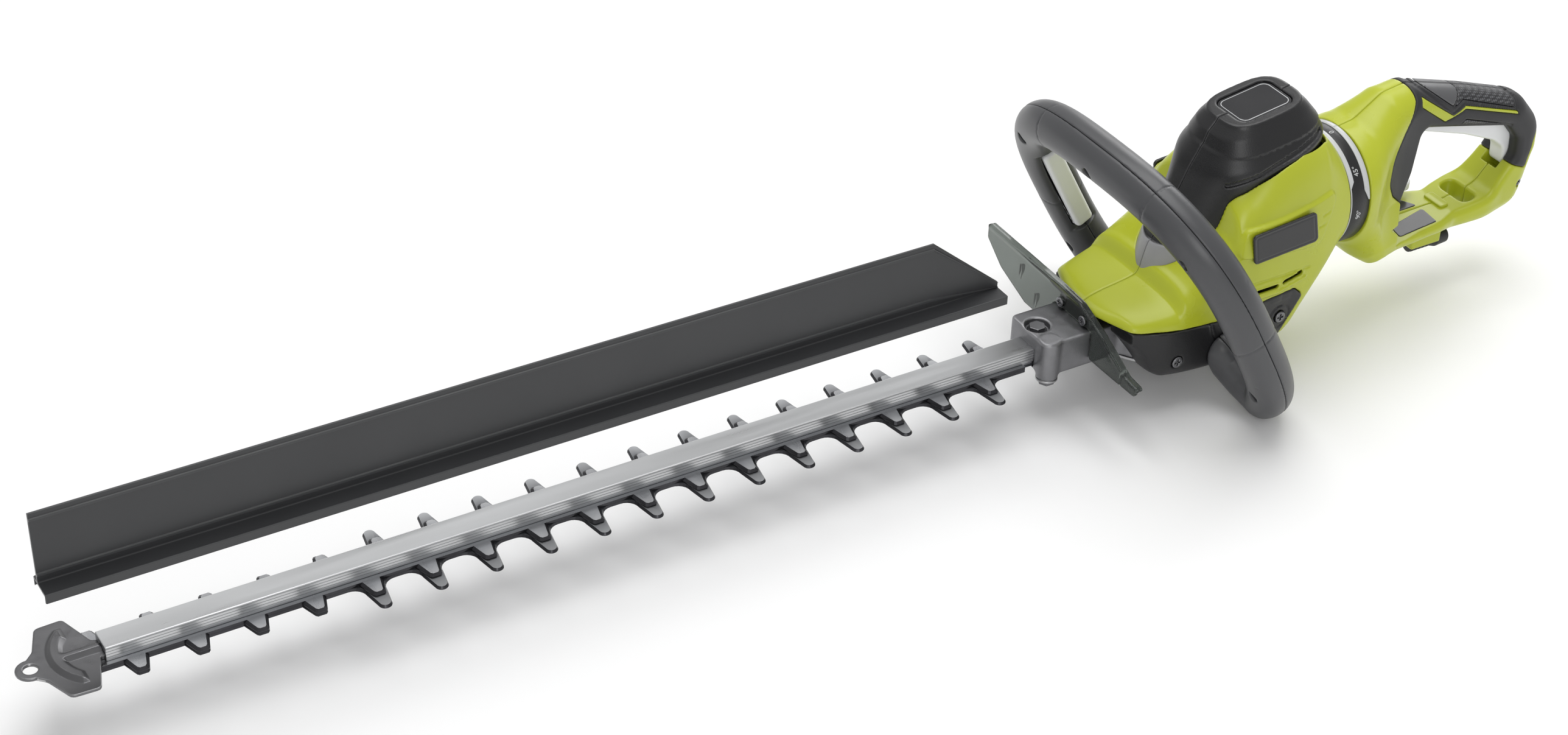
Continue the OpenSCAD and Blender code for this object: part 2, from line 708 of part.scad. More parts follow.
trigger_side = rounded([
  [913, 101, 2], [926, 99.5, 4], [984, 79.5, 6], [1001, 72, 6], [1008, 60, 6], [1009, 46, 4], [1005, 36, 3],
  [997, 39, 4], [996, 52, 8], [986, 60, 10], [958, 72, 20], [914, 86.5, 2]]);
trigger_slot = [
  [911.5, 104], [984, 88], [1004, 82], [1012, 70], [1014, 56], [1014, 42], [1004, 31], [992, 36],
  [990, 62], [911.5, 82]];
trigger_pivot = [919.5, 97];
trunnion_r = 2.4;
switch_box = [930, 99.2, 16, 5];

// The lower beam's underside slopes in on both sides and fades out towards the bell.
module handle_chamfer() {
  for (side = [-1, 1]) scale([1, side, 1]) hull() {
    front_plate(chamfer_start, bell_x, bell_x + 0.1);
    front_plate(chamfer_full, chamfer_x, 1060);
  }
}

module handle_env() {
  difference() {
    intersection() {
      side_plate(handle_side, -60, 60);
      translate([0, 0, -60]) linear_extrude(300) polygon(handle_plan);
      front_plate(handle_front, bell_x - 1, 1060);
    }
    handle_chamfer();
  }
}

module handle_hollow() {
  along_x(bell_x - 1, pivot_z, 32, 30);
  side_plate(window, -60, 60);
  side_plate(trigger_slot, -7.2, 7.2);
  along_y(trigger_pivot[0], trigger_pivot[1], trunnion_r + running, -11.3, 11.3);
  translate([switch_box[0] - 0.02, -5.02, 92])
    cube([switch_box[2] + 0.04, 10.04, switch_box[1] + switch_box[3] - 92 + 0.02]);
  along_x(929.98, inlet_z, inlet_r + 0.02, 30);
  for (p = handle_screw_at) along_y(p[0], p[1], 1.82, -14.05, 14.05);
  translate([cable_slot_x, -cable_slot_half, -20]) cube([12, 2 * cable_slot_half, 60]);
}

module handle_half(s) {
  color(lime) {
    difference() {
      intersection() {
        handle_env();
        translate([800, s > 0 ? 0.03 : -60.03, -60]) cube([300, 60, 300]);
      }
      side_plate(grip_region, -60, 60);
      handle_hollow();
      lock_pocket();
    }
  }
}

module spigot(s) {
  color(lime) intersection() {
    union() {
      ring(ring_x0 - 1, bell_x + eps, 30, collar_r);
      ring(ring_x0 - 4.4, ring_x0 - 0.3, 30, 36);
    }
    translate([800, s > 0 ? 0.03 : -60.03, -60]) cube([300, 60, 300]);
  }
}

module handle_left() to_row() {
  handle_half(-1);
  spigot(-1);
}

module handle_right() to_row() {
  handle_half(1);
  spigot(1);
}

module grip_cover() to_row() {
  color(dark) difference() {
    intersection() {
      handle_env();
      translate([0.02, 0, 0.02]) side_plate(grip_region, -60, 60);
    }
    handle_hollow();
    pad_space(0.02);
  }
}

module pad_space(g) {
  outline = [[931 - g, 200], [931 - g, 113 - g], [1001 + g, 89.5 - g], [1001 + g, 200]];
  side_plate(outline, -13 - g, 13 + g);
}

module grip_pad() to_row() {
  color(dark) intersection() {
    translate([0, 0, -0.4]) handle_env();
    pad_space(0);
  }
}

module rear_trigger() to_row() {
  color(light) {
    side_plate(trigger_side, -6.8, 6.8);
    along_y(trigger_pivot[0], trigger_pivot[1], trunnion_r, -11, 11);
  }
}

module rear_switch() to_row() {
  color(black) translate([switch_box[0], -5, switch_box[1]]) cube([switch_box[2], 10, switch_box[3]]);
}

cable_slot_x = 962;
cable_slot_half = 13;
inlet_z = -9.2;
inlet_r = 5.2;
handle_screw_at = [[886, 101], [1008, 26]];
lock_x0 = 882;
lock_x1 = 941;
lock_z0 = 24.5;
lock_z1 = 30.5;
lock_y0 = 13.5;
lock_y1 = 27.5;

module lock_pocket() {
  translate([lock_x0 - 4, lock_y0 - 4, lock_z0 - 1.5])
    cube([40, lock_y1 - lock_y0 + 5.5, lock_z1 - lock_z0 + 3]);
}

module rotation_lock() to_row() {
  plan = rounded([[lock_x0, lock_y0, 1], [lock_x1, lock_y0, 4], [lock_x1, lock_y1, 6], [lock_x0, lock_y1, 1]]);
  color(light) translate([0, 0, lock_z0]) linear_extrude(lock_z1 - lock_z0) polygon(plan);
}

hook_side = [[935, 28], [946, 27], [946, 15], [953, 15], [953, 33], [935, 33]];

module cord_hook() to_row() {
  color(lime) intersection() {
    side_plate(hook_side, -10.5, 10.5);
    translate([0, 0, 0.02]) side_plate(window, -60, 60);
  }
}

module cord_inlet() to_row() {
  color(black) difference() {
    along_x(930, inlet_z, inlet_r, 22);
    along_x(940, inlet_z, 3.6, 30);
  }
}

module handle_screws() to_row() {
  color(steel) for (p = handle_screw_at)
    along_y(p[0], p[1], 1.8, -14, 14);
}

// ---- sweeper ----
sweep_x0 = -9;
sweep_x1 = 593;
clip_z = rail_top + sweeper_lift;
clip_half = rail_w / 2 + 1.4;

module sweeper() to_row() {
  lip = 4.3;
  roof = 1.5;
  lean = 1.5;
  fin_y = 2.2;
  profile = [
    [-clip_half, -lip], [-clip_half + 1, -lip], [-clip_half + 1, 0], [clip_half - 1, 0],
    [clip_half - 1, -lip], [clip_half, -lip], [clip_half, roof], [fin_y + 1.8, roof],
    [fin_y + 1.8 + lean, fin_h + roof], [fin_y + lean, fin_h + roof], [fin_y, roof], [-clip_half, roof]];
  color(dark) difference() {
    translate([0, 0, clip_z]) front_plate(profile, sweep_x0, sweep_x1);
    side_plate([[sweep_x1 - 48, clip_z + 60], [sweep_x1 - 48, clip_z + fin_h + roof + 0.01],
      [sweep_x1 + 1, clip_z + 6], [sweep_x1 + 20, clip_z + 60]], -40, 40);
  }
}

guide_rail();
upper_blade();
lower_blade();
blade_screws();
tip_plate();
tip_screws();
gear_case();
gear_case_cover();
case_bolts();
case_nut();
drive_gear();
crankshaft();
motor_pinion();
armature();
commutator();
cooling_fan();
motor_field();
motor_bearings();
brush_holders();
housing_left();
housing_right();
base_left();
base_right();
motor_cover_left();
motor_cover_right();
cover_badge();
side_badges();
housing_screws();
hand_guard();
guard_screws();
loop_front_half();
loop_rear_half();
loop_screws();
left_paddle();
right_paddle();
front_switch();
angle_ring();
ring_bezel();
pivot_collar();
handle_left();
handle_right();
grip_cover();
grip_pad();
rear_trigger();
rear_switch();
rotation_lock();
cord_hook();
cord_inlet();
handle_screws();
sweeper();
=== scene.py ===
"""Looks of the hedge trimmer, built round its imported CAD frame.

Shapes are worked out in millimetres in the design frame: X from the blade's tip to the rear
handle, Z = 0 on top of the lower blade, Y = 0 on the middle plane, left = -Y.
Most shells are distance fields sampled in a block of points and turned into meshes.
"""

import json
import math
from functools import reduce

import bpy
import numpy as np
from mathutils import Matrix, Vector


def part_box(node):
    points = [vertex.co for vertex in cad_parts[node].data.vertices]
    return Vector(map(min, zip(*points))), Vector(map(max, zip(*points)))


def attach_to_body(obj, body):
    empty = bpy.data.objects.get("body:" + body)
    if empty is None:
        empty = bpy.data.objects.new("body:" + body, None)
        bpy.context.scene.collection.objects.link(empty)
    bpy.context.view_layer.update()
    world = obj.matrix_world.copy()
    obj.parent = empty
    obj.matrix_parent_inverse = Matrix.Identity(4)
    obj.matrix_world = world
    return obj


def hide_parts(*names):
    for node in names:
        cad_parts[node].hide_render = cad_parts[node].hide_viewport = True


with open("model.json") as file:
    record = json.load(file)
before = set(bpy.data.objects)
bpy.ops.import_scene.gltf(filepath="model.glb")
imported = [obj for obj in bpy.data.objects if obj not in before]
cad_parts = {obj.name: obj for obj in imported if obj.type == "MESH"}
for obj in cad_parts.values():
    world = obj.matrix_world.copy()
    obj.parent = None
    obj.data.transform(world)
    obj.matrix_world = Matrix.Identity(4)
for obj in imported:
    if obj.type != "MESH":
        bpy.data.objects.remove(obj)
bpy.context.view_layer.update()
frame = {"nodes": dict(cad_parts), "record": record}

MM = 0.001
RAIL_START = 18.7
RAIL_FLOOR = 2.1
RAIL_END = 618.0
RAIL_TOP = 11.06
rail_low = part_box("guide_rail")[0]
ORIGIN = np.array([rail_low.x / MM - RAIL_START, 0.0, rail_low.z / MM - RAIL_FLOOR])


# ---- outlines and rows
def arc_corner(before, at, after, radius, steps):
    """Points of an arc that rounds the corner at, or the corner itself."""
    u, v = before - at, after - at
    lu, lv = np.linalg.norm(u), np.linalg.norm(v)
    u, v = u / lu, v / lv
    half = math.acos(max(-1.0, min(1.0, float(u @ v)))) / 2
    if radius <= 0 or half > math.radians(88):
        return [at]
    d = min(radius / math.tan(half), 0.48 * lu, 0.48 * lv)
    r = d * math.tan(half)
    middle = at + (u + v) / np.linalg.norm(u + v) * r / math.sin(half)
    p, q = at + u * d - middle, at + v * d - middle
    start = math.atan2(p[1], p[0])
    turn = (math.atan2(q[1], q[0]) - start + math.pi) % (2 * math.pi) - math.pi
    return [middle + r * np.array([math.cos(start + turn * i / steps), math.sin(start + turn * i / steps)])
            for i in range(steps + 1)]


def rounded(corners, steps=6):
    """Closed outline from corners (a, b, radius)."""
    points = [np.array(c[:2], float) for c in corners]
    ring = []
    for i, corner in enumerate(corners):
        ring += arc_corner(points[i - 1], points[i], points[(i + 1) % len(points)], corner[2], steps)
    return np.array(ring)


def along(rows, values):
    """Columns of rows (key, a, b, ...) at the given keys, joined by smooth monotone curves."""
    table = np.array(rows, float)
    keys, cols = table[:, 0], table[:, 1:]
    h = np.diff(keys)[:, None]
    slope = np.diff(cols, axis=0) / h
    tangent = np.zeros_like(cols)
    same = slope[:-1] * slope[1:] > 0
    mean = 2 / (1 / np.where(same, slope[:-1], 1) + 1 / np.where(same, slope[1:], 1))
    tangent[1:-1] = np.where(same, mean, 0)
    tangent[0], tangent[-1] = slope[0], slope[-1]
    v = np.clip(np.asarray(values, float), keys[0], keys[-1])
    i = np.clip(np.searchsorted(keys, v, side="right") - 1, 0, len(keys) - 2)
    w = (keys[i + 1] - keys[i])
    t = ((v - keys[i]) / w)
    result = []
    for c in range(cols.shape[1]):
        a, b = cols[i, c], cols[i + 1, c]
        ta, tb = tangent[i, c] * w, tangent[i + 1, c] * w
        result.append((2 * t**3 - 3 * t**2 + 1) * a + (t**3 - 2 * t**2 + t) * ta
                      + (3 * t**2 - 2 * t**3) * b + (t**3 - t**2) * tb)
    return result


# ---- distance fields
class Block:
    """A block of sample points in millimetres; x, y and z are its open grid."""

    def __init__(self, low, high, step):
        self.step = step
        self.axes = [np.arange(a - 2 * step, b + 2.5 * step, step) for a, b in zip(low, high)]
        self.grid = self.x, self.y, self.z = np.ix_(*self.axes)


def slab(values, low, high):
    """Field of the space between two planes."""
    return np.maximum(low - values, values - high)


def both(*fields):
    """Intersection of fields, with sharp edges."""
    return reduce(np.maximum, fields)


def either(*fields):
    """Union of fields, with sharp inner corners."""
    return reduce(np.minimum, fields)


def round_both(radius, *fields):
    """Intersection whose edges are rounded to the radius."""
    over = sum(np.maximum(f + radius, 0) ** 2 for f in fields)
    return np.minimum(both(*fields), -radius) + np.sqrt(over)


def round_either(radius, *fields):
    """Union whose inner corners are filled to the radius."""
    return -round_both(radius, *[-f for f in fields])


def minus(field, tool, radius=0.4):
    """A field with another cut out of it, and the cut's edges rounded."""
    return round_both(radius, field, -tool)


def path_field(a, b, points):
    """Distance from the points (a, b) to an open path."""
    a, b = np.broadcast_arrays(a, b)
    best = np.full(a.shape, 1e9)
    points = np.array(points, float)
    for p, q in zip(points[:-1], points[1:]):
        d = q - p
        t = np.clip(((a - p[0]) * d[0] + (b - p[1]) * d[1]) / max(d @ d, 1e-12), 0, 1)
        best = np.minimum(best, (a - p[0] - t * d[0]) ** 2 + (b - p[1] - t * d[1]) ** 2)
    return np.sqrt(best)


def outline_field(a, b, points):
    """Signed distance from the points (a, b) to a closed outline, negative inside."""
    points = np.concatenate([points, points[:1]])
    distance = path_field(a, b, points)
    inside = np.zeros(distance.shape, bool)
    for p, q in zip(points[:-1], points[1:]):
        if p[1] != q[1]:
            crosses = (p[1] > b) != (q[1] > b)
            inside ^= crosses & (a < (q[0] - p[0]) * (b - p[1]) / (q[1] - p[1]) + p[0])
    return np.where(inside, -1, 1) * distance


def section_field(a, b, half_a, half_b, power):
    """Distance-like field of a superellipse section."""
    reach = (np.abs(a / half_a) ** power + np.abs(b / half_b) ** power) ** (1 / power)
    return (reach - 1) * np.minimum(half_a, half_b)


def line_share(a, b, path, half_width, ramp=0.6):
    """1 on a line drawn along a path, falling to 0 beside it."""
    return np.clip((half_width - path_field(a, b, path)) / ramp, 0, 1)


def hexagon(x, y, reach):
    """Distance-like field of a hexagon with flats at the given reach."""
    turns = [np.radians(60 * k) for k in range(3)]
    return both(*[np.abs(x * np.cos(a) + y * np.sin(a)) - reach for a in turns])


def inside_share(field, ramp):
    """1 inside a field and 0 outside it, changing over a ramp."""
    return np.clip(0.5 - field / ramp, 0, 1)


def rod(u, v, w, radius, low, high, edge=0.4):
    """Round rod along w, with its middle at u = v = 0."""
    return round_both(edge, np.sqrt(u * u + v * v) - radius, slab(w, low, high))


# ---- meshes from fields
def sample(field, block, points):
    """Field values at points, by trilinear interpolation."""
    grid = []
    for axis in range(3):
        g = (points[:, axis] - block.axes[axis][0]) / block.step
        grid.append(np.clip(g, 0, len(block.axes[axis]) - 1.001))
    base = [g.astype(int) for g in grid]
    part = [g - b for g, b in zip(grid, base)]
    total = np.zeros(len(points))
    for corner in np.ndindex(2, 2, 2):
        weight = 1.0
        for f, d in zip(part, corner):
            weight = weight * (f if d else 1 - f)
        total += weight * field[tuple(b + d for b, d in zip(base, corner))]
    return total


def surface(field, block):
    """Vertices and quads of the field's zero surface: one vertex in each cell that it crosses."""
    shape = tuple(len(a) for a in block.axes)
    field = np.broadcast_to(field, shape)
    inside = field < 0
    cells = tuple(n - 1 for n in shape)
    index = -np.ones(cells, np.int64)
    low = np.ones(cells, bool)
    high = np.zeros(cells, bool)
    for corner in np.ndindex(2, 2, 2):
        part = inside[tuple(slice(d, n + d) for n, d in zip(cells, corner))]
        low &= part
        high |= part
    active = high & ~low
    count = int(active.sum())
    index[active] = np.arange(count)
    total, hits, quads = np.zeros((count, 3)), np.zeros(count), []
    for axis in range(3):
        u, v = (axis + 1) % 3, (axis + 2) % 3
        first = tuple(slice(0, n - 1) if k == axis else slice(None) for k, n in enumerate(shape))
        second = tuple(slice(1, n) if k == axis else slice(None) for k, n in enumerate(shape))
        edges = np.argwhere(inside[first] != inside[second])
        fa = field[first][tuple(edges.T)]
        fb = field[second][tuple(edges.T)]
        spots = edges.astype(float)
        spots[:, axis] += fa / (fa - fb)
        corners = []
        for du, dv in ((-1, -1), (0, -1), (0, 0), (-1, 0)):
            cell = edges.copy()
            cell[:, u] += du
            cell[:, v] += dv
            ok = np.all((cell >= 0) & (cell < np.array(cells)), axis=1)
            ids = np.full(len(cell), -1)
            ids[ok] = index[tuple(cell[ok].T)]
            for k in range(3):
                total[:, k] += np.bincount(ids[ok], spots[ok, k], count)
            hits += np.bincount(ids[ok], minlength=count)
            corners.append(ids)
        ring = np.stack(corners, 1)
        ring[fa > 0] = ring[fa > 0][:, ::-1]
        quads.append(ring[np.all(ring >= 0, axis=1)])
    start = np.array([a[0] for a in block.axes])
    points = start + total / hits[:, None] * block.step
    settle(points, field, block)
    return points, np.concatenate(quads)


def settle(points, field, block, rounds=2):
    """Moves the points onto the zero surface along the field's slope."""
    shift = 0.5 * block.step
    for _ in range(rounds):
        value = sample(field, block, points)
        slope = np.zeros_like(points)
        for axis in range(3):
            step = np.zeros(3)
            step[axis] = shift
            ahead = sample(field, block, points + step)
            behind = sample(field, block, points - step)
            slope[:, axis] = (ahead - behind) / (2 * shift)
        size = np.maximum((slope**2).sum(1), 0.05)
        move = -slope * (value / size)[:, None]
        points += np.clip(move, -0.6 * block.step, 0.6 * block.step)


# ---- pieces
def new_object(name, data):
    thing = bpy.data.objects.new(name, data)
    bpy.context.scene.collection.objects.link(thing)
    return thing


def evaluated(thing):
    """An object as its modifiers and settings leave it."""
    bpy.context.view_layer.update()
    return thing.evaluated_get(bpy.context.evaluated_depsgraph_get())


def mesh_piece(name, points, faces, material, smooth=True):
    """A mesh object from points in millimetres in the design frame."""
    mesh = bpy.data.meshes.new(name)
    place = (np.asarray(points, float) + ORIGIN) * MM
    mesh.from_pydata(place.tolist(), [], [list(map(int, f)) for f in faces])
    mesh.validate()
    mesh.polygons.foreach_set("use_smooth", [smooth] * len(mesh.polygons))
    mesh.materials.append(material)
    return new_object(name, mesh)


def paint(piece, material, chosen):
    """Gives a second material to the faces whose centre and normal pass a test."""
    piece.data.materials.append(material)
    for face in piece.data.polygons:
        face.material_index = int(chosen(np.array(face.center) / MM - ORIGIN, face.normal))


def attach(piece, body, nodes=()):
    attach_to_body(piece, body)
    if nodes:
        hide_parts(*nodes)
    return piece


def skin_piece(name, skin, node, material=None, smooth=True, nodes=None):
    """A piece that looks and moves like a CAD node, and takes its place or that of the given nodes."""
    slot = slot_of[node]
    piece = mesh_piece(name, *skin, material or looks[slot], smooth)
    return attach(piece, body_of[node], [node] if nodes is None else nodes)


def field_piece(name, field, block, node, material=None):
    """The visual piece of a CAD node, from a field."""
    return skin_piece(name, surface(field, block), node, material)


def shell_pair(stem, field, block, material=None):
    """A right shell from a field with y above 0, and its mirror image on the left."""
    points, quads = surface(field, block)
    for hand, side in (("right", 1), ("left", -1)):
        node = stem + "_" + hand
        faces = quads if side > 0 else quads[:, ::-1]
        skin_piece(node + "_shell", (points * np.array([1, side, 1]), faces), node, material)


def mirrored(skin):
    """A skin and its mirror image across the middle plane, as one skin."""
    points, quads = skin
    pair = np.concatenate([points, points * np.array([1, -1, 1])])
    return pair, np.concatenate([quads, quads[:, ::-1] + len(points)])


def joined(skins):
    """Several skins as one."""
    points, faces, count = [], [], 0
    for part_points, part_faces in skins:
        points.append(part_points)
        faces += [[i + count for i in face] for face in part_faces]
        count += len(part_points)
    return np.concatenate(points), faces


def swept(rings, caps=True):
    """Points and faces of a skin through closed rings of equal length."""
    rings = np.asarray(rings, float)
    count, size = rings.shape[:2]
    faces = []
    for i in range(count - 1):
        for j in range(size):
            a, b = i * size + j, i * size + (j + 1) % size
            faces.append((a, b, b + size, a + size))
    if caps:
        faces.append(tuple(range(size - 1, -1, -1)))
        faces.append(tuple((count - 1) * size + j for j in range(size)))
    return rings.reshape(-1, 3), faces


# ---- materials
body_of = {node: body for body, nodes in frame["record"]["behaviour"]["bodies"].items() for node in nodes}
slot_of = {part["node"]: part["material_slot"] for part in frame["record"]["subparts"]}
MIDDLE_OF_NOISE = (0.25, 0.75)


class Look:
    """A node material built step by step round one Principled shader."""

    def __init__(self, name, colour, roughness, metallic=0.0):
        self.material = bpy.data.materials.new(name)
        self.material.use_nodes = True
        self.tree = self.material.node_tree
        self.shader = self.tree.nodes["Principled BSDF"]
        self.set(Base_Color=(*colour, 1), Roughness=roughness, Metallic=metallic)
        self.coords = self.node("TexCoord").outputs["Object"]
        self.colour, self.roughness = colour, roughness

    def fill(self, node, values):
        """Sets a node's inputs, by name or number, to values or links them to outputs."""
        for key, value in values.items():
            socket = node.inputs[key.replace("_", " ") if isinstance(key, str) else key]
            if isinstance(value, bpy.types.NodeSocket):
                self.tree.links.new(value, socket)
            else:
                socket.default_value = value
        return node

    def node(self, kind, **values):
        return self.fill(self.tree.nodes.new("ShaderNode" + kind), values)

    def set(self, **values):
        """Fills inputs of the shader itself."""
        self.fill(self.shader, values)
        return self

    def texture(self, kind, scale, stretch=(1, 1, 1), **values):
        """A texture node on the object's own coordinates."""
        mapping = self.node("Mapping", Vector=self.coords, Scale=stretch)
        return self.node(kind, Scale=scale, Vector=mapping.outputs["Vector"], **values)

    def ranged(self, value, source, target=(0.0, 1.0)):
        """A value moved from one range to another, and held inside it."""
        node = self.node("MapRange", Value=value, From_Min=source[0], From_Max=source[1],
                         To_Min=target[0], To_Max=target[1])
        return node.outputs["Result"]

    def maths(self, operation, *values, kind="Math"):
        """The result of a Math node with outputs or numbers as its values."""
        node = self.node(kind)
        node.operation = operation
        return self.fill(node, dict(enumerate(values))).outputs["Value"]

    def blend(self, other, share, first=None):
        """Mixes another colour over the present one, or over the first, by a share."""
        mix = self.node("Mix")
        mix.data_type = "RGBA"
        self.fill(mix, {"A": (*first, 1) if first else self.colour_output, "B": (*other, 1), "Factor": share})
        self.colour_output = mix.outputs["Result"]
        return self.set(Base_Color=self.colour_output)

    def shade(self, scale=9.0, amount=0.06, stretch=(1, 1, 1)):
        """Slow changes of colour over the surface."""
        noise = self.texture("TexNoise", scale, stretch, Detail=4.0)
        darker = [c * (1 - amount) for c in self.colour]
        lighter = [min(1.0, c * (1 + amount)) for c in self.colour]
        return self.blend(lighter, self.ranged(noise.outputs["Fac"], MIDDLE_OF_NOISE), darker)

    def wear(self, lighter, amount=0.5):
        """Paler edges, from the curvature of the surface."""
        edge = self.node("NewGeometry").outputs["Pointiness"]
        return self.blend(lighter, self.ranged(edge, (0.52, 0.60), (0.0, amount)))

    def patchy(self, scale=25.0, amount=0.06, stretch=(1, 1, 1)):
        """Slow changes of roughness, as from handling."""
        noise = self.texture("TexNoise", scale, stretch, Detail=6.0)
        limits = max(0.02, self.roughness - amount), self.roughness + amount
        return self.set(Roughness=self.ranged(noise.outputs["Fac"], MIDDLE_OF_NOISE, limits))

    def grain(self, scale, depth, stretch=(1, 1, 1)):
        """Fine relief; depth is in millimetres."""
        height = self.texture("TexNoise", scale, stretch).outputs["Fac"]
        bump = self.node("Bump", Strength=0.6, Distance=depth * MM, Height=height)
        return self.set(Normal=bump.outputs["Normal"])

    def along_line(self, direction, start):
        """Distance along a direction from a point in the design frame, in metres."""
        reach = self.maths("DOT_PRODUCT", self.coords, direction, kind="VectorMath")
        return self.maths("SUBTRACT", reach, float(np.dot(direction, np.array(start) + ORIGIN)) * MM)


def plastic(name, colour, roughness, grain_scale=1400.0, grain_depth=0.05, pale=0.25):
    lighter = [min(1.0, c + pale * (1 - c)) for c in colour]
    look = Look(name, colour, roughness).shade().wear(lighter, 0.35).patchy()
    return look.grain(grain_scale, grain_depth).material


def metal(name, colour, roughness, scale, depth, stretch=(1, 1, 1)):
    look = Look(name, colour, roughness, 1.0).shade(30.0, 0.1, stretch).wear((0.9, 0.9, 0.9), 0.4)
    return look.patchy(scale, 0.1, stretch).grain(scale * 8, depth, stretch).material


def guard_look():
    look = Look("guard_plastic", (0.17, 0.19, 0.175), 0.10).shade(20.0, 0.08).patchy(40.0, 0.04)
    return look.grain(300.0, 0.01).set(Transmission_Weight=0.92, IOR=1.35).material


def honeycomb_look():
    """Small cells: paler in their middles, with painted shade in the gaps between them."""
    look = Look("textured_rubber", (0.115, 0.118, 0.125), 0.46).shade(15.0, 0.15).patchy(60.0, 0.1)
    cells = look.texture("TexVoronoi", 480.0, Randomness=0.12)
    # painted shade: the gaps between the cells are darkened towards near-black
    look.blend((0.012, 0.012, 0.014), look.ranged(cells.outputs["Distance"], (0.2, 0.55)))
    return look.grain(2200.0, 0.06).material


def shaded_flank_look():
    """The teeth's bevelled flanks in near-black steel: painted shade, standing for the dark that these flanks
    reflect.
    """
    look = Look("ground_steel", (0.05, 0.05, 0.055), 0.30, 0.85).shade(40.0, 0.3, (1, 0.1, 1))
    return look.patchy(120.0, 0.08, (1, 0.1, 1)).grain(900.0, 0.02, (0.1, 1, 1)).material


def lower_steel_look():
    """Dark steel, paler towards the rounded finger tips."""
    look = Look("lower_steel", (0.10, 0.105, 0.115), 0.34, 0.9).shade(30.0, 0.12, ACROSS)
    split = look.node("SeparateXYZ", Vector=look.coords)
    distance = look.maths("ABSOLUTE", split.outputs["Y"])
    look.blend((0.40, 0.41, 0.43), look.ranged(distance, (0.022, 0.034)))
    return look.wear((0.8, 0.8, 0.8), 0.4).patchy(90.0, 0.1, ACROSS).grain(700.0, 0.02).material


def cover_look():
    """The motor cover's black plastic, with a painted highlight: a pale band round its front foot."""
    look = Look("cover_plastic", (0.011, 0.011, 0.012), 0.36).shade().patchy()
    height = look.along_line((-math.sin(COVER_TILT), 0, math.cos(COVER_TILT)), (COVER_X, 0, 0))
    depth = look.along_line((1, 0, 0), (COLLAR_END, 0, 0))
    # painted highlight: a pale band on the collar, only at its front, fading out towards the rear
    band = look.ranged(height, ((COLLAR_TOP - 0.4) * MM, COLLAR_TOP * MM), (1.0, 0.0))
    front = look.ranged(depth, (-HIGHLIGHT_FADE * MM, HIGHLIGHT_FADE * MM), (1.0, 0.0))
    look.blend((0.30, 0.30, 0.31), look.maths("MULTIPLY", band, front))
    return look.wear((0.3, 0.3, 0.31), 0.2).grain(1300.0, 0.12).material


ALONG = (0.06, 1, 1)
ACROSS = (1, 0.08, 1)
# colour, roughness, grain scale, grain depth, paleness of the edges
PLASTICS = {
    "lime_plastic": ((0.45, 0.50, 0.024), 0.30, 1700.0, 0.035, 0.15),
    "black_plastic": ((0.009, 0.009, 0.010), 0.38, 1300.0, 0.14, 0.10),
    "badge_gloss": ((0.016, 0.016, 0.018), 0.22, 900.0, 0.01, 0.10),
    "loop_plastic": ((0.062, 0.063, 0.067), 0.36, 1600.0, 0.07, 0.10),
    "light_plastic": ((0.80, 0.81, 0.82), 0.36, 1500.0, 0.05),
    "silver_plastic": ((0.55, 0.56, 0.57), 0.28, 1500.0, 0.03),
    "grip_rubber": ((0.018, 0.018, 0.020), 0.50, 2200.0, 0.10, 0.10),
    "sweeper_plastic": ((0.032, 0.033, 0.035), 0.36, 1500.0, 0.05, 0.15),
    # pad_plastic is lighter than the rubber round it: partly its own grey, partly painted sheen of its smooth
    # face
    "pad_plastic": ((0.085, 0.086, 0.09), 0.42, 1500.0, 0.03),
}
# colour, roughness, scale of the patches, grain depth, stretch
METALS = {
    "cast_metal": ((0.25, 0.25, 0.26), 0.46, 160.0, 0.12),
    "rail_metal": ((0.42, 0.43, 0.44), 0.34, 90.0, 0.02, ALONG),
    "blade_steel": ((0.42, 0.43, 0.45), 0.28, 90.0, 0.02, ACROSS),
    "screw_steel": ((0.20, 0.20, 0.21), 0.36, 300.0, 0.03),
    "gear_steel": ((0.42, 0.42, 0.44), 0.35, 200.0, 0.03),
    "copper": ((0.72, 0.36, 0.16), 0.30, 200.0, 0.02),
    "tip_steel": ((0.16, 0.16, 0.165), 0.34, 140.0, 0.05),
}
looks = {name: plastic(name, *values) for name, values in PLASTICS.items()}
looks.update({name: metal(name, *values) for name, values in METALS.items()})
looks.update(guard_plastic=guard_look(), textured_rubber=honeycomb_look(), ground_steel=shaded_flank_look(),
             lower_steel=lower_steel_look())


# ---- body shells
SEAM = 0.15
WALL, LOOP_WALL, HANDLE_WALL = 2.4, 2.6, 4.5
PIVOT_Z = 64.5
BODY_FRONT, BODY_REAR = 657.0, 834.0
# x, half width, top, bottom, widest height, exponent
UPPER_ROWS = [
    (657, 16, 29, 12, 20.5, 4), (662, 28, 31.5, 8, 20.5, 4), (668.5, 41.5, 33.2, 0, 20.5, 4),
    (674, 43.5, 34.2, -5, 20.5, 4), (684, 46.2, 35.6, -8, 20.5, 4), (697, 49, 38.2, -9, 20.5, 4),
    (703, 49.5, 47, -10, 20.5, 4), (708, 49.7, 50.05, -10, 20.5, 4), (716, 49.9, 56.2, -10, 20.5, 4),
    (726, 50, 64.5, -10, 20.5, 4), (737, 50, 77, -10, 20.5, 4), (742, 50, 94.8, -10, 20.5, 4),
    (753, 50, 104.8, -12, 20.5, 4), (771, 49.5, 119.8, -15, 20.5, 4), (785.5, 48.2, 125.6, -17, 20.5, 4),
    (790, 47.7, 126.4, -14, 22, 4), (799.4, 46.6, 127, -2, 30, 3.7), (811, 45.2, 127.6, 10, 41, 3),
    (820, 43.5, 119, 16, 52, 2.6), (828, 41.8, 111.5, 21, 61, 2.2), (834, 40.4, 105.1, 24.1, 64.5, 2)]
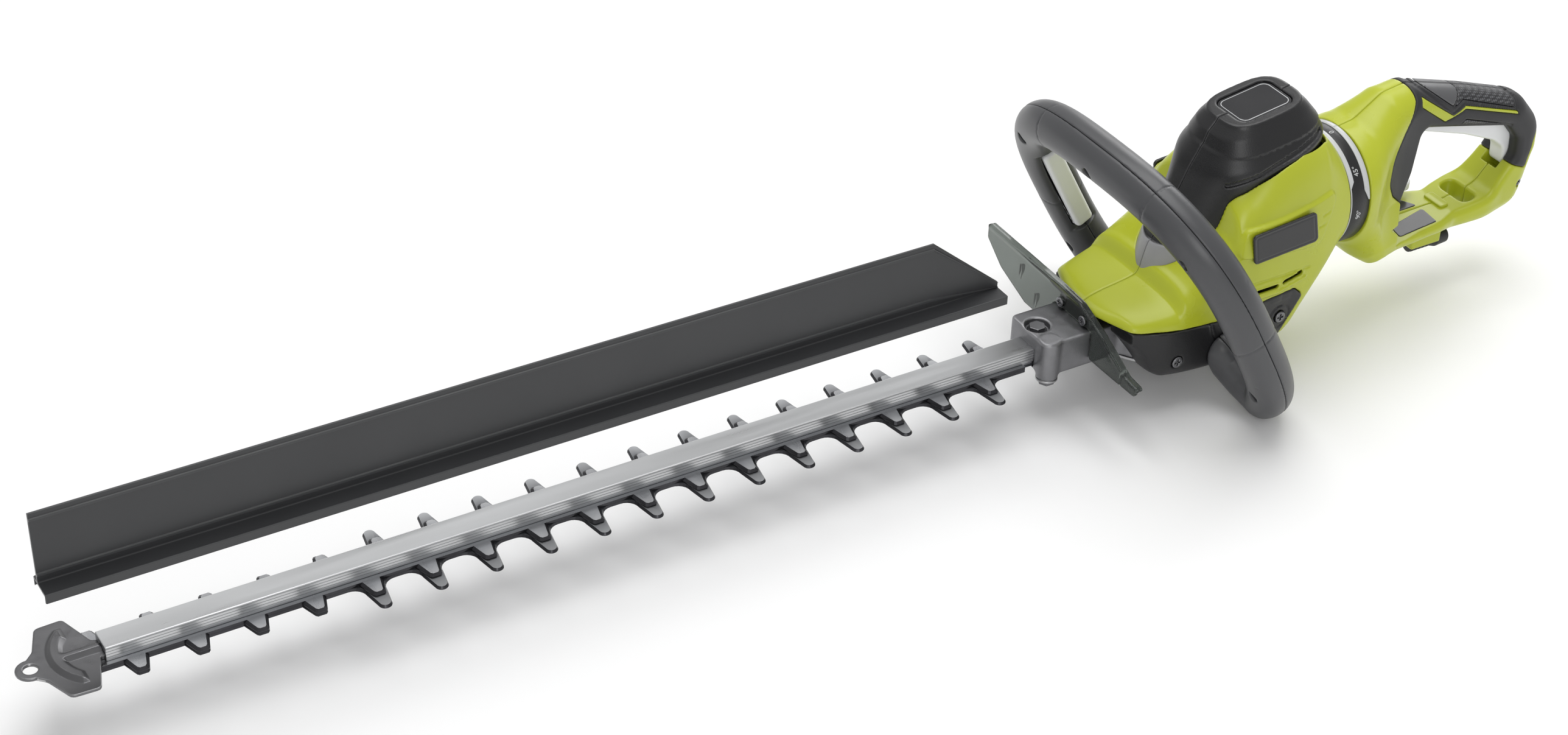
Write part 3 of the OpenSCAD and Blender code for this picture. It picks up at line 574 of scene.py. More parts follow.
BASE_ROWS = [
    (668.5, 41.5, 30, 16, 20.5, 6), (676, 44.6, 30, 5.5, 20.5, 7), (684, 47.6, 30, -8.5, 20.5, 8),
    (692, 49, 30, -13, 20.5, 8), (722, 50, 30, -16.4, 20.5, 8), (762, 49.6, 30, -18.2, 20.5, 8),
    (785.2, 48, 30, -17, 20.5, 6)]
BASE_REGION = rounded([
    (640, 28, 0), (675, 25, 20), (727, 22, 30), (756, 21.2, 10), (763, 26, 3), (789, 27, 4),
    (797, 20, 3), (779.5, -8, 3), (777, -30, 0), (640, -30, 0)])
# height along the cover's own axis, front, rear, half width, exponent
COVER_ROWS = [
    (34, -50, 70, 28, 2.1), (50, -46, 72, 28.6, 2.1), (65, -39.7, 76, 30, 2.1), (78, -30.2, 79.5, 30.8, 2.1),
    (94, -18.3, 83, 33.3, 2.2), (100, -14, 84.3, 34.7, 2.3), (110, -7.5, 85.5, 36, 2.5),
    (120.4, 0.6, 81.2, 30.2, 2.8), (124, 3, 80, 29, 2.8)]
LID_ROWS = [(119.6, 1.2, 82.4, 31.8, 2.9), (130, 7.2, 76, 26, 3.0), (135.4, 13.6, 71.6, 22, 3.2),
            (139, 15.2, 70.6, 21.2, 3.2)]
LID_LOW = 120.0
# x, half width of the opening for the motor cover
OPENING_ROWS = [
    (690, -6), (701.5, 0), (703, 4), (708, 14), (716, 20), (726, 23), (737, 25.5), (742, 27.5), (753, 32),
    (771, 36.4), (785.5, 35.6), (790, 34.8), (799, 33.6), (811, 29.5), (820, 22.5), (828, 11), (831, 0),
    (836, -20)]
COVER_X, COVER_TILT = 755.0, math.radians(8.73)
COVER_LOW, COLLAR_TOP, COVER_HIGH = 43.5, 68.0, 137.1
# COLLAR_END and HIGHLIGHT_FADE place the painted highlight on the cover's collar
COLLAR_END, HIGHLIGHT_FADE = 726.0, 6.0
COVER_WALL = 4.2
SLOT_PATH = [(2, 105.0), (33, 111.3), (62, 114.4), (74, 114.8)]


def loft_field(block, rows):
    """Body whose section at each x is a superellipse with its own top and bottom."""
    half, top, bottom, centre, power = along(rows, block.x)
    height = np.where(block.z > centre, top - centre, centre - bottom)
    reach = (np.abs(block.y / half) ** power + np.abs((block.z - centre) / height) ** power) ** (1 / power)
    return (reach - 1) * np.minimum(half, np.maximum(height, 6))


def opening_field(block):
    """Opening for the motor cover, seen from above: its half width at each x."""
    return np.maximum(np.abs(block.y) - along(OPENING_ROWS, block.x)[0], 26 - block.z)


def cover_frame(x, z):
    """Coordinates along and up the motor cover's tilted frame."""
    c, s = math.cos(COVER_TILT), math.sin(COVER_TILT)
    return (x - COVER_X) * c + z * s, z * c - (x - COVER_X) * s


def stack_field(u, y, w, rows, smooth=True):
    """Body whose section at each height w is a superellipse."""
    if smooth:
        front, rear, half, power = along(rows, w)
    else:
        keys, *columns = zip(*rows)
        front, rear, half, power = [np.interp(w, keys, column) for column in columns]
    return section_field(u - (front + rear) / 2, y, (rear - front) / 2, half, power)


def cover_field(block):
    """Outside of the motor cover: its body and the lid on top."""
    u, w = cover_frame(block.x, block.z)
    body = round_both(1.5, stack_field(u, block.y, w, COVER_ROWS), w - 123)
    body = body - 0.9 * inside_share(w - COLLAR_TOP, 0.8)
    lid = round_both(0.9, stack_field(u, block.y, w, LID_ROWS, smooth=False), slab(w, LID_LOW, COVER_HIGH))
    return either(body, lid)


def half_of(field, block, edge=0.5):
    """The right half, with a small round at the middle seam."""
    return round_both(edge, field, SEAM / 2 - block.y)


def hollow(field, block, wall=WALL):
    """Shell of even thickness, measured along the field's slope."""
    slopes = np.gradient(field, block.step)
    size = np.sqrt(sum(slope**2 for slope in slopes))
    return np.maximum(field, -(field / np.maximum(size, 0.6) + wall))


PANEL = rounded([(737, 64, 4), (744, 81, 4), (798, 87, 6), (814, 89.5, 4), (817, 84, 3), (806, 54, 8)])
PANEL_RISE, VENT_HALF, PIVOT_BORE = 1.9, 1.6, 36.5
PLATE = rounded([(749, 58.4, 3), (745, 80, 3), (794, 84.3, 3), (799, 62, 3)])
VENTS = [((756.5, 34.6), (772.3, 34.3)), ((778.5, 35.5), (792.8, 37.2))]
VENT_RAIL = [(750, 30.5), (774, 30.0), (797, 33.0)]
CREASE = [(752, 41.6), (776, 40.6), (800, 39.0)]
TICKS = [((805, 75.4), (810.5, 76.6)), ((802, 67.8), (807.6, 69.1))]
HOUSING_SCREWS, HOUSING_SCREW_Y = [(699, 0), (779, 9)], 47.8


def build_housing():
    """Upper body, open for the air slots, the motor cover and the handle's pivot."""
    block = Block((BODY_FRONT, 0, -20), (BODY_REAR, 52, 130), 0.8)
    x, y, z = block.grid
    field = loft_field(block, UPPER_ROWS)
    side = np.clip((y - 36) / 8, 0, 1)
    field = field - PANEL_RISE * side * inside_share(outline_field(x, z, PANEL), 1.5)
    field = round_both(1.2, field, slab(x, BODY_FRONT, BODY_REAR - 0.05))
    for path, half_width, depth, ramp in ((VENT_RAIL, 1.6, -1.2, 0.8), (CREASE, 1.2, 0.9, 0.8),
                                          (TICKS[0], 0.9, 0.7, 0.7), (TICKS[1], 0.9, 0.7, 0.7)):
        field = field + depth * side * line_share(x, z, path, half_width, ramp)
    surround = either(*[path_field(x, z, vent) for vent in VENTS])
    field = field - 0.7 * side * np.clip((3.4 - surround) / 0.9, 0, 1)
    shell = hollow(field, block)
    shell = minus(shell, both(surround - VENT_HALF, 40 - y), 0.4)
    shell = round_both(0.6, shell, SEAM - outline_field(x, z, BASE_REGION))
    shell = minus(shell, opening_field(block), 1.2)
    shell = minus(shell, both(np.sqrt(y**2 + (z - PIVOT_Z) ** 2) - PIVOT_BORE, 826 - x), 0.4)
    shell_pair("housing", half_of(shell, block), block)


def build_base():
    block = Block((666, 0, -21), (798, 52, 30), 0.9)
    x, y, z = block.grid
    field = loft_field(block, BASE_ROWS)
    tail = loft_field(block, UPPER_ROWS) + 0.3
    field = np.where(x > 770, np.minimum(field, tail), field)
    field = round_both(1.0, field, 667 - x)
    side = np.clip((y - 40) / 6, 0, 1)
    ring = np.abs(np.hypot(x - 779, z - 9) - 8)
    for groove in (path_field(x, z, [(721, 24), (725, 12), (731, 3), (738, -3), (739, -20)]), ring):
        field = field + 0.8 * side * np.clip((0.8 - groove) / 0.6, 0, 1)
    shell = hollow(field, block)
    shell = round_both(0.6, shell, outline_field(x, z, BASE_REGION) + SEAM)
    for sx, sz in HOUSING_SCREWS:
        shell = minus(shell, rod(x - sx, z - sz, y, 4.2, 46.5, 60, 0.2), 0.4)
    shell_pair("base", half_of(shell, block), block)


def build_cover():
    block = Block((692, 0, 34), (845, 40, 150), 0.9)
    x, y, z = block.grid
    u, w = cover_frame(x, z)
    field = cover_field(block)
    field = round_both(0.8, field, COVER_LOW - w)
    shell = hollow(field, block, COVER_WALL)
    channel = round_both(0.6, path_field(u, w, SLOT_PATH) - 1.5, 20 - y)
    floor = -(stack_field(u, y, w, COVER_ROWS) + 1.7)
    shell = minus(shell, both(channel, floor), 0.4)
    cap = outline_field(u, y, CAP_OUTLINE)
    shell = minus(shell, both(cap - 0.3, 133.0 - w), 0.4)
    shell_pair("motor_cover", half_of(shell, block, 0.6), block, cover_look())


CAP_CENTRE = 43.0
CAP_OUTLINE = rounded([(CAP_CENTRE - 20.6, -15.4, 7), (CAP_CENTRE + 20.6, -15.4, 7),
                       (CAP_CENTRE + 20.6, 15.4, 7), (CAP_CENTRE - 20.6, 15.4, 7)], 10)


def build_cap():
    """Plain plate sunk in the cover's lid, with a pale line round it."""
    block = Block((CAP_CENTRE - 22, -17, 132), (CAP_CENTRE + 22, 17, 138), 0.45)
    outline = outline_field(block.x, block.y, CAP_OUTLINE)
    plate = round_both(0.4, outline, slab(block.z, 133.4, 135.9))
    line = round_both(0.15, np.abs(outline + 2.2) - 0.35, slab(block.z, 135.4, 136.15))
    c, s = math.cos(COVER_TILT), math.sin(COVER_TILT)
    for name, field, material, nodes in (("cap_plate", plate, None, ["cover_badge"]),
                                         ("cap_line", line, looks["silver_plastic"], ())):
        points, quads = surface(field, block)
        u, w = points[:, 0].copy(), points[:, 2].copy()
        points[:, 0] = COVER_X + u * c - w * s
        points[:, 2] = u * s + w * c
        skin_piece(name, (points, quads), "cover_badge", material, nodes=nodes)


def build_side_badges():
    block = Block((743, 49.5, 56), (802, 53, 87), 0.5)
    outline = outline_field(block.x, block.z, PLATE)
    field = round_both(0.35, outline, slab(block.y, 50.4, 52.4))
    field = minus(field, both(np.abs(outline + 2.2) - 0.3, 52.1 - block.y), 0.2)
    skin_piece("side_plates", mirrored(surface(field, block)), "side_badges")


# ---- front handle and guard
LOOP_X, LOOP_LEAN = 735.2, math.radians(28.77)
LOOP_HALF_W, LOOP_HALF_H, LOOP_MID_S, LOOP_POWER = 102.5, 97.4, 51.25, 2.85
TUBE_R = 14.62
ARM = [(47.5, -2), (53, -10), (64, -18.5)]
PADDLE_LOW, PADDLE_HIGH, LEG_Y, POCKET_HALF = 22.0, 98.0, 81, 7.2
LOOP_JOINTS = ([(60, 175), (52, 140), (46, 100)], [(118, 60), (104, 52), (80, 44)])
LOOP_HOLE_R, LOOP_BOSS_R = 3.4, 4.8
LOOP_SCREWS = [(0, 148.5), (84, 124), (-84, 124), (97.7, 4), (-97.7, 4)]


def loop_path():
    start = -45
    angles = np.radians(np.linspace(start, 180 - start, 181))
    c, s = np.cos(angles), np.sin(angles)
    arc = np.stack([LOOP_HALF_W * np.sign(c) * np.abs(c) ** (2 / LOOP_POWER),
                    LOOP_MID_S + LOOP_HALF_H * np.sign(s) * np.abs(s) ** (2 / LOOP_POWER)], 1)
    return np.concatenate([ARM, arc, [(-y, s) for y, s in reversed(ARM)]])


def from_loop(points):
    """Points (y, s, n) of the leaning loop's own frame in the design frame."""
    y, s, n = points.T
    c, t = math.cos(LOOP_LEAN), math.sin(LOOP_LEAN)
    return np.stack([LOOP_X - t * s + c * n, y, c * s + t * n], 1)


def build_loop():
    """Front handle's tube in its own leaning frame, split into a front and a rear half."""
    path = loop_path()
    block = Block((-119, -38, -15.5), (119, 166, 15.5), 0.85)
    y, s, n = block.grid
    away = path_field(y, s, path)
    within = outline_field(y, s, path) < 0
    tube = np.sqrt(away**2 + n**2) - TUBE_R
    leg = both(LEG_Y - np.abs(y), slab(s, PADDLE_LOW, PADDLE_HIGH))
    flat = np.where(within, away, -away) - 10.6
    tube = np.where(leg < 2, round_both(2.0, tube, np.where(leg < 1, flat, -9)), tube)
    for joint in LOOP_JOINTS:
        for side in (1, -1):
            tube = tube + 0.6 * line_share(y, s, [(side * a, b) for a, b in joint], 0.7, 0.5)
    lean_gap = np.abs(np.abs(y) - LOOP_HALF_W - 5)
    inset = both(np.abs(np.abs(s - 62) - 42) - 0.5, lean_gap)
    tube = tube + 0.35 * np.clip((0.6 - inset) / 0.5, 0, 1)
    shell = hollow(tube, block, LOOP_WALL)
    pocket = round_both(1.5, slab(s, PADDLE_LOW + 2, PADDLE_HIGH - 2), np.abs(n) - POCKET_HALF)
    pocket = both(pocket, LEG_Y - np.abs(y))
    shell = np.where(within, minus(shell, pocket, 0.5), shell)
    design_x = LOOP_X - math.sin(LOOP_LEAN) * s + math.cos(LOOP_LEAN) * n
    body_side = both(np.abs(y) - 50.15, 690 - design_x)
    shell = minus(shell, body_side, 0.3)
    for sy, ss in LOOP_SCREWS:
        hole = np.sqrt((y - sy) ** 2 + ((s - ss) / 1.35) ** 2)
        shell = minus(shell, both(hole - LOOP_HOLE_R, 9.5 - np.abs(n)), 0.5)
        boss = both(hole - LOOP_BOSS_R, np.abs(n) - 11.6)
        shell = np.where(tube < 0, either(shell, both(boss, tube)), shell)
        shell = minus(shell, both(hole - LOOP_HOLE_R, 11.2 - np.abs(n)), 0.4)
    for node, side in (("loop_rear_half", 1), ("loop_front_half", -1)):
        field = round_both(0.45, shell, 0.12 - side * n)
        points, quads = surface(field, block)
        skin_piece(node + "_shell", (from_loop(points), quads[:, ::-1]), node)


def build_paddles():
    block = Block((-4, -37, -7.4), (6.5, 37, 7.4), 0.45)
    body = round_both(3.2, slab(block.x, -2.7, 5.4), np.abs(block.y) - 35.5, np.abs(block.z) - 6.6)
    points, quads = surface(body, block)
    middle = (PADDLE_LOW + PADDLE_HIGH) / 2
    for node, side in (("left_paddle", -1), ("right_paddle", 1)):
        moved = points * np.array([-side, 1, 1]) + np.array([side * (LOOP_HALF_W - 12.3), middle, 0])
        faces = quads if side > 0 else quads[:, ::-1]
        skin_piece(node + "_bar", (from_loop(moved), faces), node)


GUARD_X, GUARD_T, RIM_DEPTH = 651.0, 2.4, 5.4
GUARD_TOP = [(95, 36, 1), (15, 34.6, 8), (-6.6, 33, 14), (-31, 23, 8), (-58, 8.6, 8), (-70, 7.4, 2)]
GUARD_EDGE = rounded(GUARD_TOP + [
    (-69, 1, 3), (-50, 0.6, 6), (-20.6, 0.4, 2), (-20.6, 20.2, 2), (20.6, 20.2, 2), (20.6, 1, 2),
    (50, 1.6, 4), (78.2, 12.4, 14), (95, 26, 3)])
GUARD_RIM = rounded(GUARD_TOP + [
    (-70, 4.8, 0), (-58, 6, 8), (-31.4, 20.4, 8), (-7.4, 30.4, 14), (15, 32, 8), (95, 33.4, 1)])
GUARD_STAYS = [(58.4, 16.9), (40.4, 5.3), (-52.2, 3.1)]
GUARD_SCREW_Y, GUARD_SCREW_Z = 12.0, 24.5


def build_guard():
    block = Block((650, -72, -1), (657.5, 97, 38), 0.6)
    x, y, z = block.grid
    plate = round_both(0.6, outline_field(y, z, GUARD_EDGE), slab(x, GUARD_X, GUARD_X + GUARD_T))
    rim = round_both(0.7, outline_field(y, z, GUARD_RIM), slab(x, GUARD_X, GUARD_X + RIM_DEPTH))
    field = round_either(0.8, plate, rim)
    for sy, sz in GUARD_STAYS:
        stay = both(np.abs(y - sy) - 1.0, slab(z, sz - 2, sz + 8), (x - GUARD_X) + 0.5 * (sz - z) - 3.5)
        field = either(field, round_both(0.3, stay, slab(x, GUARD_X, GUARD_X + RIM_DEPTH)))
    for side in (-1, 1):
        field = minus(field, rod(y - side * GUARD_SCREW_Y, z - GUARD_SCREW_Z, x, 2.0, 640, 670, 0.1), 0.2)
    field_piece("guard_shell", field, block, "hand_guard")


def screw_head(radius, height, recess):
    """A round head on z from 0 to height, with a cross or hex recess."""
    block = Block((-radius - 0.3, -radius - 0.3, -0.3), (radius + 0.3, radius + 0.3, height + 0.3), 0.25)
    x, y, z = block.grid
    head = round_both(0.35 * height, np.hypot(x, y) - radius, slab(z, 0, height))
    if recess == "cross":
        arms = either(round_both(0.1, np.abs(x) - 0.18 * radius, np.abs(y) - 0.6 * radius),
                      round_both(0.1, np.abs(y) - 0.18 * radius, np.abs(x) - 0.6 * radius))
    else:
        arms = hexagon(x, y, 0.42 * radius)
    return surface(minus(head, both(arms, 0.35 * height - z), 0.08), block)


def tube_skin(radius, low, high, steps=24):
    """A closed cylinder on z."""
    turn = np.linspace(0, 2 * math.pi, steps, endpoint=False)
    ring = np.stack([radius * np.cos(turn), radius * np.sin(turn), np.zeros(steps)], 1)
    return swept([ring + (0, 0, low), ring + (0, 0, high)])


def placed(parts, places):
    """Copies of skins at places (origin, axis), as one skin."""
    skins = []
    for origin, axis in places:
        w = np.array(axis, float) / np.linalg.norm(axis)
        u = np.cross(w, (0, 0, 1) if abs(w[2]) < 0.9 else (1, 0, 0))
        u /= np.linalg.norm(u)
        turn = np.stack([u, np.cross(w, u), w])
        skins += [(points @ turn + np.array(origin, float), faces) for points, faces in parts]
    return joined(skins)


def build_screws(node, head, shank, places):
    """Screws from (radius, height, recess) of the head and (radius, low end) of the shank."""
    skin_piece(node + "_set", placed([screw_head(*head), tube_skin(*shank, 0.1)], places), node)


def build_all_screws():
    sides = (-1, 1)
    build_screws("guard_screws", (3.3, 1.8, "cross"), (1.8, -6.9),
                 [((GUARD_X - 0.02, side * GUARD_SCREW_Y, GUARD_SCREW_Z), (-1, 0, 0)) for side in sides])
    build_screws("housing_screws", (3.9, 2.2, "cross"), (1.6, -2),
                 [((sx, side * HOUSING_SCREW_Y, sz), (0, side, 0))
                  for side in sides for sx, sz in HOUSING_SCREWS])
    n_axis = np.array((math.cos(LOOP_LEAN), 0, math.sin(LOOP_LEAN)))
    sites = from_loop(np.array([(y, s, 0) for y, s in LOOP_SCREWS], float))
    build_screws("loop_screws", (2.6, 1.6, "cross"), (1.4, -9),
                 [(site + side * 9.0 * n_axis, side * n_axis) for site in sites for side in (1, -1)])
    build_screws("handle_screws", (3.2, 1.8, "cross"), (1.7, -12.2),
                 [((hx, side * HANDLE_SCREW_Y, hz), (0, side, 0))
                  for hx, hz in HANDLE_SCREWS for side in sides])
    build_screws("blade_screws", (4.4, 2.2, "hex"), (2.5, -9.6),
                 [((sx, 0, BLADE_SCREW_Z), (0, 0, -1)) for sx in BLADE_SCREWS])


# ---- rear handle and ring
RING_FRONT, RING_REAR = 834.05, 849.6
BELL_X = 850.2
SPIGOT_R, FLANGE_R, BORE_R = 31.5, 33, 30
HANDLE_SIDE = rounded([
    (800, 104.6, 0), (850, 104.6, 6), (862, 106.5, 12), (883, 120.5, 14), (903, 123.4, 18), (955, 108, 40),
    (1003.5, 91.2, 24), (1022, 70, 24), (1023.5, 50, 20), (1009, 10, 12), (1001, -3, 8),
    (905, -5, 30), (880, 2, 20), (860, 14, 12), (850, 24.4, 6), (800, 24.4, 0)])
GRIP_HALF = [(800, 41), (850, 40.6), (858, 39), (866, 34.5), (874, 28.5), (884, 22.8), (895, 19.4),
             (908, 17.8), (925, 17.2), (960, 17), (1060, 17)]
BEAM_HALF = [(800, 41), (850, 40.6), (862, 39.5), (872, 37), (885, 33), (897, 29), (915, 27.5),
             (934, 25), (944, 21.5), (952, 19), (962, 20.5), (975, 21.5), (992, 18.5), (1010, 17), (1060, 17)]
WINDOW = rounded([
    (909, 94.5, 6), (988, 75, 8), (999, 62, 8), (1000, 48, 10), (981, 26, 16), (950, 20, 12),
    (886.5, 18.6, 2.5), (897, 42, 8), (905, 64, 12)])
GRIP_REGION = rounded([
    (900, 154, 0), (900.5, 126, 4), (900.5, 117, 8), (893.5, 104, 14), (880.5, 82, 20), (879.5, 66, 20),
    (888, 52, 10), (897.5, 43.5, 2), (913, 41, 2), (925, 70, 8), (975, 64, 8), (985, 50, 4), (998, 43, 2),
    (1010, 38, 2), (1014, 60, 14), (1040, 84, 0), (1040, 154, 0)])
FLASH = np.array([(905.8, 117.8), (904.6, 111.6), (926.8, 95.4), (933.1, 96.4), (944.6, 99.8), (994.3, 82.8),
                  (994, 84.9), (945.1, 101.7), (934.1, 98), (911, 114)])
INSET = [(890, 140), (903, 124.5), (933.6, 100.2), (943.8, 103.6), (992.7, 86.2), (995, 92), (987, 100)]
SMOOTH_PAD = np.array([(904, 143), (905, 134), (907.3, 124), (933.2, 104.6), (943, 111), (937, 121.5),
                       (934, 143)])
ROUGH_PAD = np.array([(936, 143), (937.6, 121.7), (943.4, 110.6), (934.8, 103.6), (944, 105.6), (991.4, 88),
                      (992.5, 93.5), (986.5, 100), (984, 143)])
LOWER_PAD = np.array([(934.5, 84), (946, 92.2), (990, 76.7), (990, 70.5), (962, 72)])
TRIGGER_SIDE = rounded([
    (913, 101, 2), (926, 99.5, 4), (984, 79.5, 6), (1001, 72, 6), (1008, 60, 6), (1009, 46, 4), (1005, 36, 3),
    (997, 39, 4), (996, 52, 8), (986, 60, 10), (958, 72, 20), (914, 86.5, 2)])
TRIGGER_PIVOT, TRIGGER_HALF, SLOT_HALF_Y = (919.5, 97), 6.8, 7.2
TRIGGER_SLOT = rounded([
    (911.5, 104, 1), (984, 88, 4), (1004, 82, 3), (1012, 70, 4), (1014, 56, 6), (1014, 42, 4), (1004, 31, 2),
    (992, 36, 2), (990, 62, 8), (911.5, 82, 2)])
# the beam's lower corners are cut on a slant: its normal, and rows x, place along it
SLANT = (0.524, 0.852)
UNDERSIDE = [(855, 32), (876.7, 5.4), (888, 3.8), (907, 3.0), (927, 2.0), (972, 2.2), (1010, -3)]
INLET_BOSS = (927, 952, 7.6)
HANDLE_SCREWS, HANDLE_SCREW_Y = [(1008, 26)], 12.2
HOOK_SIDE = rounded([
    (935, 27.6, 2), (945.5, 27, 2), (946, 12, 0), (953, 12, 0), (953, 33, 4), (935, 32.6, 2)])
CABLE_SLOT = rounded([(962, -13, 5), (974, -13, 5), (974, 13, 5), (962, 13, 5)])
INLET_Z, INLET_R, INLET_HOLE_R = -9.2, 5.2, 3.6
LOCK_PLAN = rounded([(882, 13.5, 1), (936, 13.5, 5), (941, 18, 4), (939, 27.5, 5), (882, 27.5, 1)])
LOCK_LOW, LOCK_HIGH = 24.5, 30.5


def handle_shape(block):
    """Outside of the rear handle as one solid, before it is cut into pieces."""
    x, y, z = block.grid
    low_share = np.clip((46 - z) / 22, 0, 1)
    half = along(GRIP_HALF, x)[0] * (1 - low_share) + along(BEAM_HALF, x)[0] * low_share
    upper_round = np.interp(x, [850, 862, 874, 884, 895, 905], [38, 33, 26, 21, 17.5, 15.5])
    lower_round = np.interp(x, [850, 864, 882, 905, 940, 955], [38, 22, 9, 6, 6, 11])
    radius = upper_round * (1 - low_share) + lower_round * low_share
    body = round_both(radius, outline_field(x, z, HANDLE_SIDE), y - half)
    body = round_both(5.0, body, SLANT[0] * y - SLANT[1] * z - along(UNDERSIDE, x)[0])
    low_x, high_x, boss_half = INLET_BOSS
    boss = both(slab(x, low_x, high_x), y - boss_half, slab(z, INLET_Z + 1, 6))
    return round_either(3.0, body, boss)


def handle_cuts(block, field):
    """Openings shared by the handle's shells and its overmould."""
    x, y, z = block.grid
    window = outline_field(x, z, WINDOW)
    edge = np.interp(x, [900, 915], [1.5, 5.0])
    field = round_both(edge, field, -window)
    field = minus(field, both(outline_field(x, y, CABLE_SLOT), z - 45), 2.0)
    field = minus(field, both(outline_field(x, z, TRIGGER_SLOT), y - SLOT_HALF_Y), 0.5)
    return round_both(0.4, field, BELL_X - x)


def build_handle():
    """Rear handle: green shells, black overmould and the pads set into it."""
    block = Block((838, 0, -10), (1026, 42, 128), 0.78)
    x, y, z = block.grid
    envelope = handle_shape(block)
    whole = handle_cuts(block, envelope)
    grip = outline_field(x, z, GRIP_REGION)
    flash = outline_field(x, z, FLASH)
    shell = hollow(whole, block, HANDLE_WALL)
    green = round_both(0.8, shell, SEAM - grip)
    green = either(green, round_both(0.4, shell, flash + SEAM))
    round_axis = np.hypot(y, z - PIVOT_Z)
    spigot = both(np.abs(round_axis - SPIGOT_R) - 1.4, slab(x, RING_FRONT - 1, BELL_X + 2))
    flange = both(np.abs(round_axis - FLANGE_R) - 2.9, slab(x, 829.7, 833.6))
    green = minus(green, both(round_axis - BORE_R, x - 870), 0.4)
    green = either(green, spigot, flange)
    green = minus(green, rod(z - INLET_Z, y, x, INLET_R + 0.15, 929.8, 960), 0.3)
    lock_room = both(slab(x, 878, 918), slab(y, 10, 29), slab(z, LOCK_LOW - 1.2, LOCK_HIGH + 1.2))
    green = minus(green, lock_room, 0.5)
    for sx, sz in HANDLE_SCREWS:
        green = minus(green, rod(x - sx, z - sz, y, 3.5, HANDLE_SCREW_Y, 60, 0.2), 0.4)
    shell_pair("handle", half_of(green, block), block)

    smooth, rough, lower = [outline_field(x, z, pad) for pad in (SMOOTH_PAD, ROUGH_PAD, LOWER_PAD)]
    over = hollow(whole + 0.8 * line_share(x, z, INSET, 1.1), block, HANDLE_WALL)
    over = round_both(0.8, over, grip + SEAM)
    over = minus(over, flash, 0.5)
    over = minus(over, both(either(smooth, rough) - 0.2, -(envelope + 1.6)), 0.3)
    over = minus(over, both(lower - 0.2, -(envelope + 1.6)), 0.3)
    skin_piece("grip_overmould", mirrored(surface(over, block)), "grip_cover")
    skin = both(whole, -(envelope + 2.0))
    for name, pad, sunk, material, nodes in (
            ("grip_smooth_pad", smooth, 0.0, looks["pad_plastic"], ["grip_pad"]),
            ("grip_rough_pad", rough, 0.1, looks["textured_rubber"], ()),
            ("grip_lower_pad", lower, 0.5, looks["textured_rubber"], ())):
        solid = round_both(0.5, skin + sunk, pad + 0.1)
        skin_piece(name, mirrored(surface(solid, block)), "grip_cover", material, nodes=nodes)


def build_hook():
    block = Block((933, -12, 13), (955, 12, 35), 0.45)
    x, y, z = block.grid
    side = outline_field(x, z, HOOK_SIDE)
    stem = np.abs(y) - np.interp(z, [26, 28], [8.8, 10.8])
    hook = round_both(1.7, side, stem)
    hook = round_both(0.3, hook, 0.1 - outline_field(x, z, WINDOW) - 1.6)
    field_piece("cord_hook_solid", hook, block, "cord_hook")


def build_lock():
    block = Block((880, 12, 23), (942, 29, 32), 0.45)
    tab = round_both(1.4, outline_field(block.x, block.y, LOCK_PLAN), slab(block.z, LOCK_LOW, LOCK_HIGH))
    ridges = inside_share(np.abs((block.x - 926) % 3.0 - 1.5) - 0.5, 0.5) * (slab(block.x, 920, 935) < 0)
    field_piece("rotation_lock_tab", tab + 0.35 * ridges * (block.z > 27), block, "rotation_lock")


def build_trigger():
    block = Block((911, -12, 34), (1011, 12, 103), 0.55)
    outline = outline_field(block.x, block.z, TRIGGER_SIDE)
    blade = round_both(2.2, outline, np.abs(block.y) - TRIGGER_HALF)
    pivot = rod(block.x - TRIGGER_PIVOT[0], block.z - TRIGGER_PIVOT[1], block.y, 2.3, -10.8, 10.8)
    field_piece("rear_trigger_blade", either(blade, pivot), block, "rear_trigger")


def build_inlet():
    block = Block((929, -7, -18), (966, 7, -2), 0.4)
    x, y, z = block.grid
    radius = np.interp(x, [930, 948, 952, 964], [5.0, 5.0, 6.4, 5.6])
    body = np.hypot(y, z - INLET_Z) - radius
    rings = 0.5 * np.clip((np.abs((x - 934) % 3.2 - 1.6) - 1.1) / 0.3, 0, 1) * (x < 947)
    body = round_both(0.6, body + rings, slab(x, 930, 962))
    body = minus(body, rod(z - INLET_Z, y, x, INLET_HOLE_R, 940, 970), 0.4)
    field_piece("cord_inlet_sleeve", body, block, "cord_inlet")


# places of the silver strips' inner edges: degrees from the top, x
FRONT_STRIP = [(0, 837.8), (60, 837.8), (66, 835.1), (130, 834.8)]
REAR_STRIP = [(0, 845.4), (70, 845.4), (80, 848.4)]
BAND_RADII, STRIP_RADII = (37.2, 39.9), (39.5, 40.35)
MARK_X, MARK_R, MARK_LOW = 841.4, 40.0, 39.95


def ring_skin(front, rear, low_r, high_r, angles):
    """Rings of a band on the pivot's axis, whose edges are rows (degrees from the top, x)."""
    rings = []
    for a in angles:
        x0, x1 = [float(np.interp(math.degrees(abs(a)), *zip(*rows))) for rows in (front, rear)]
        bevel = min(0.25, 0.3 * (x1 - x0))
        section = [(x0, low_r), (x0, high_r - bevel), (x0 + bevel, high_r), (x1 - bevel, high_r),
                   (x1, high_r - bevel), (x1, low_r)]
        c, s = math.cos(a), math.sin(a)
        rings.append([(px, -r * s, PIVOT_Z + r * c) for px, r in section])
    return rings


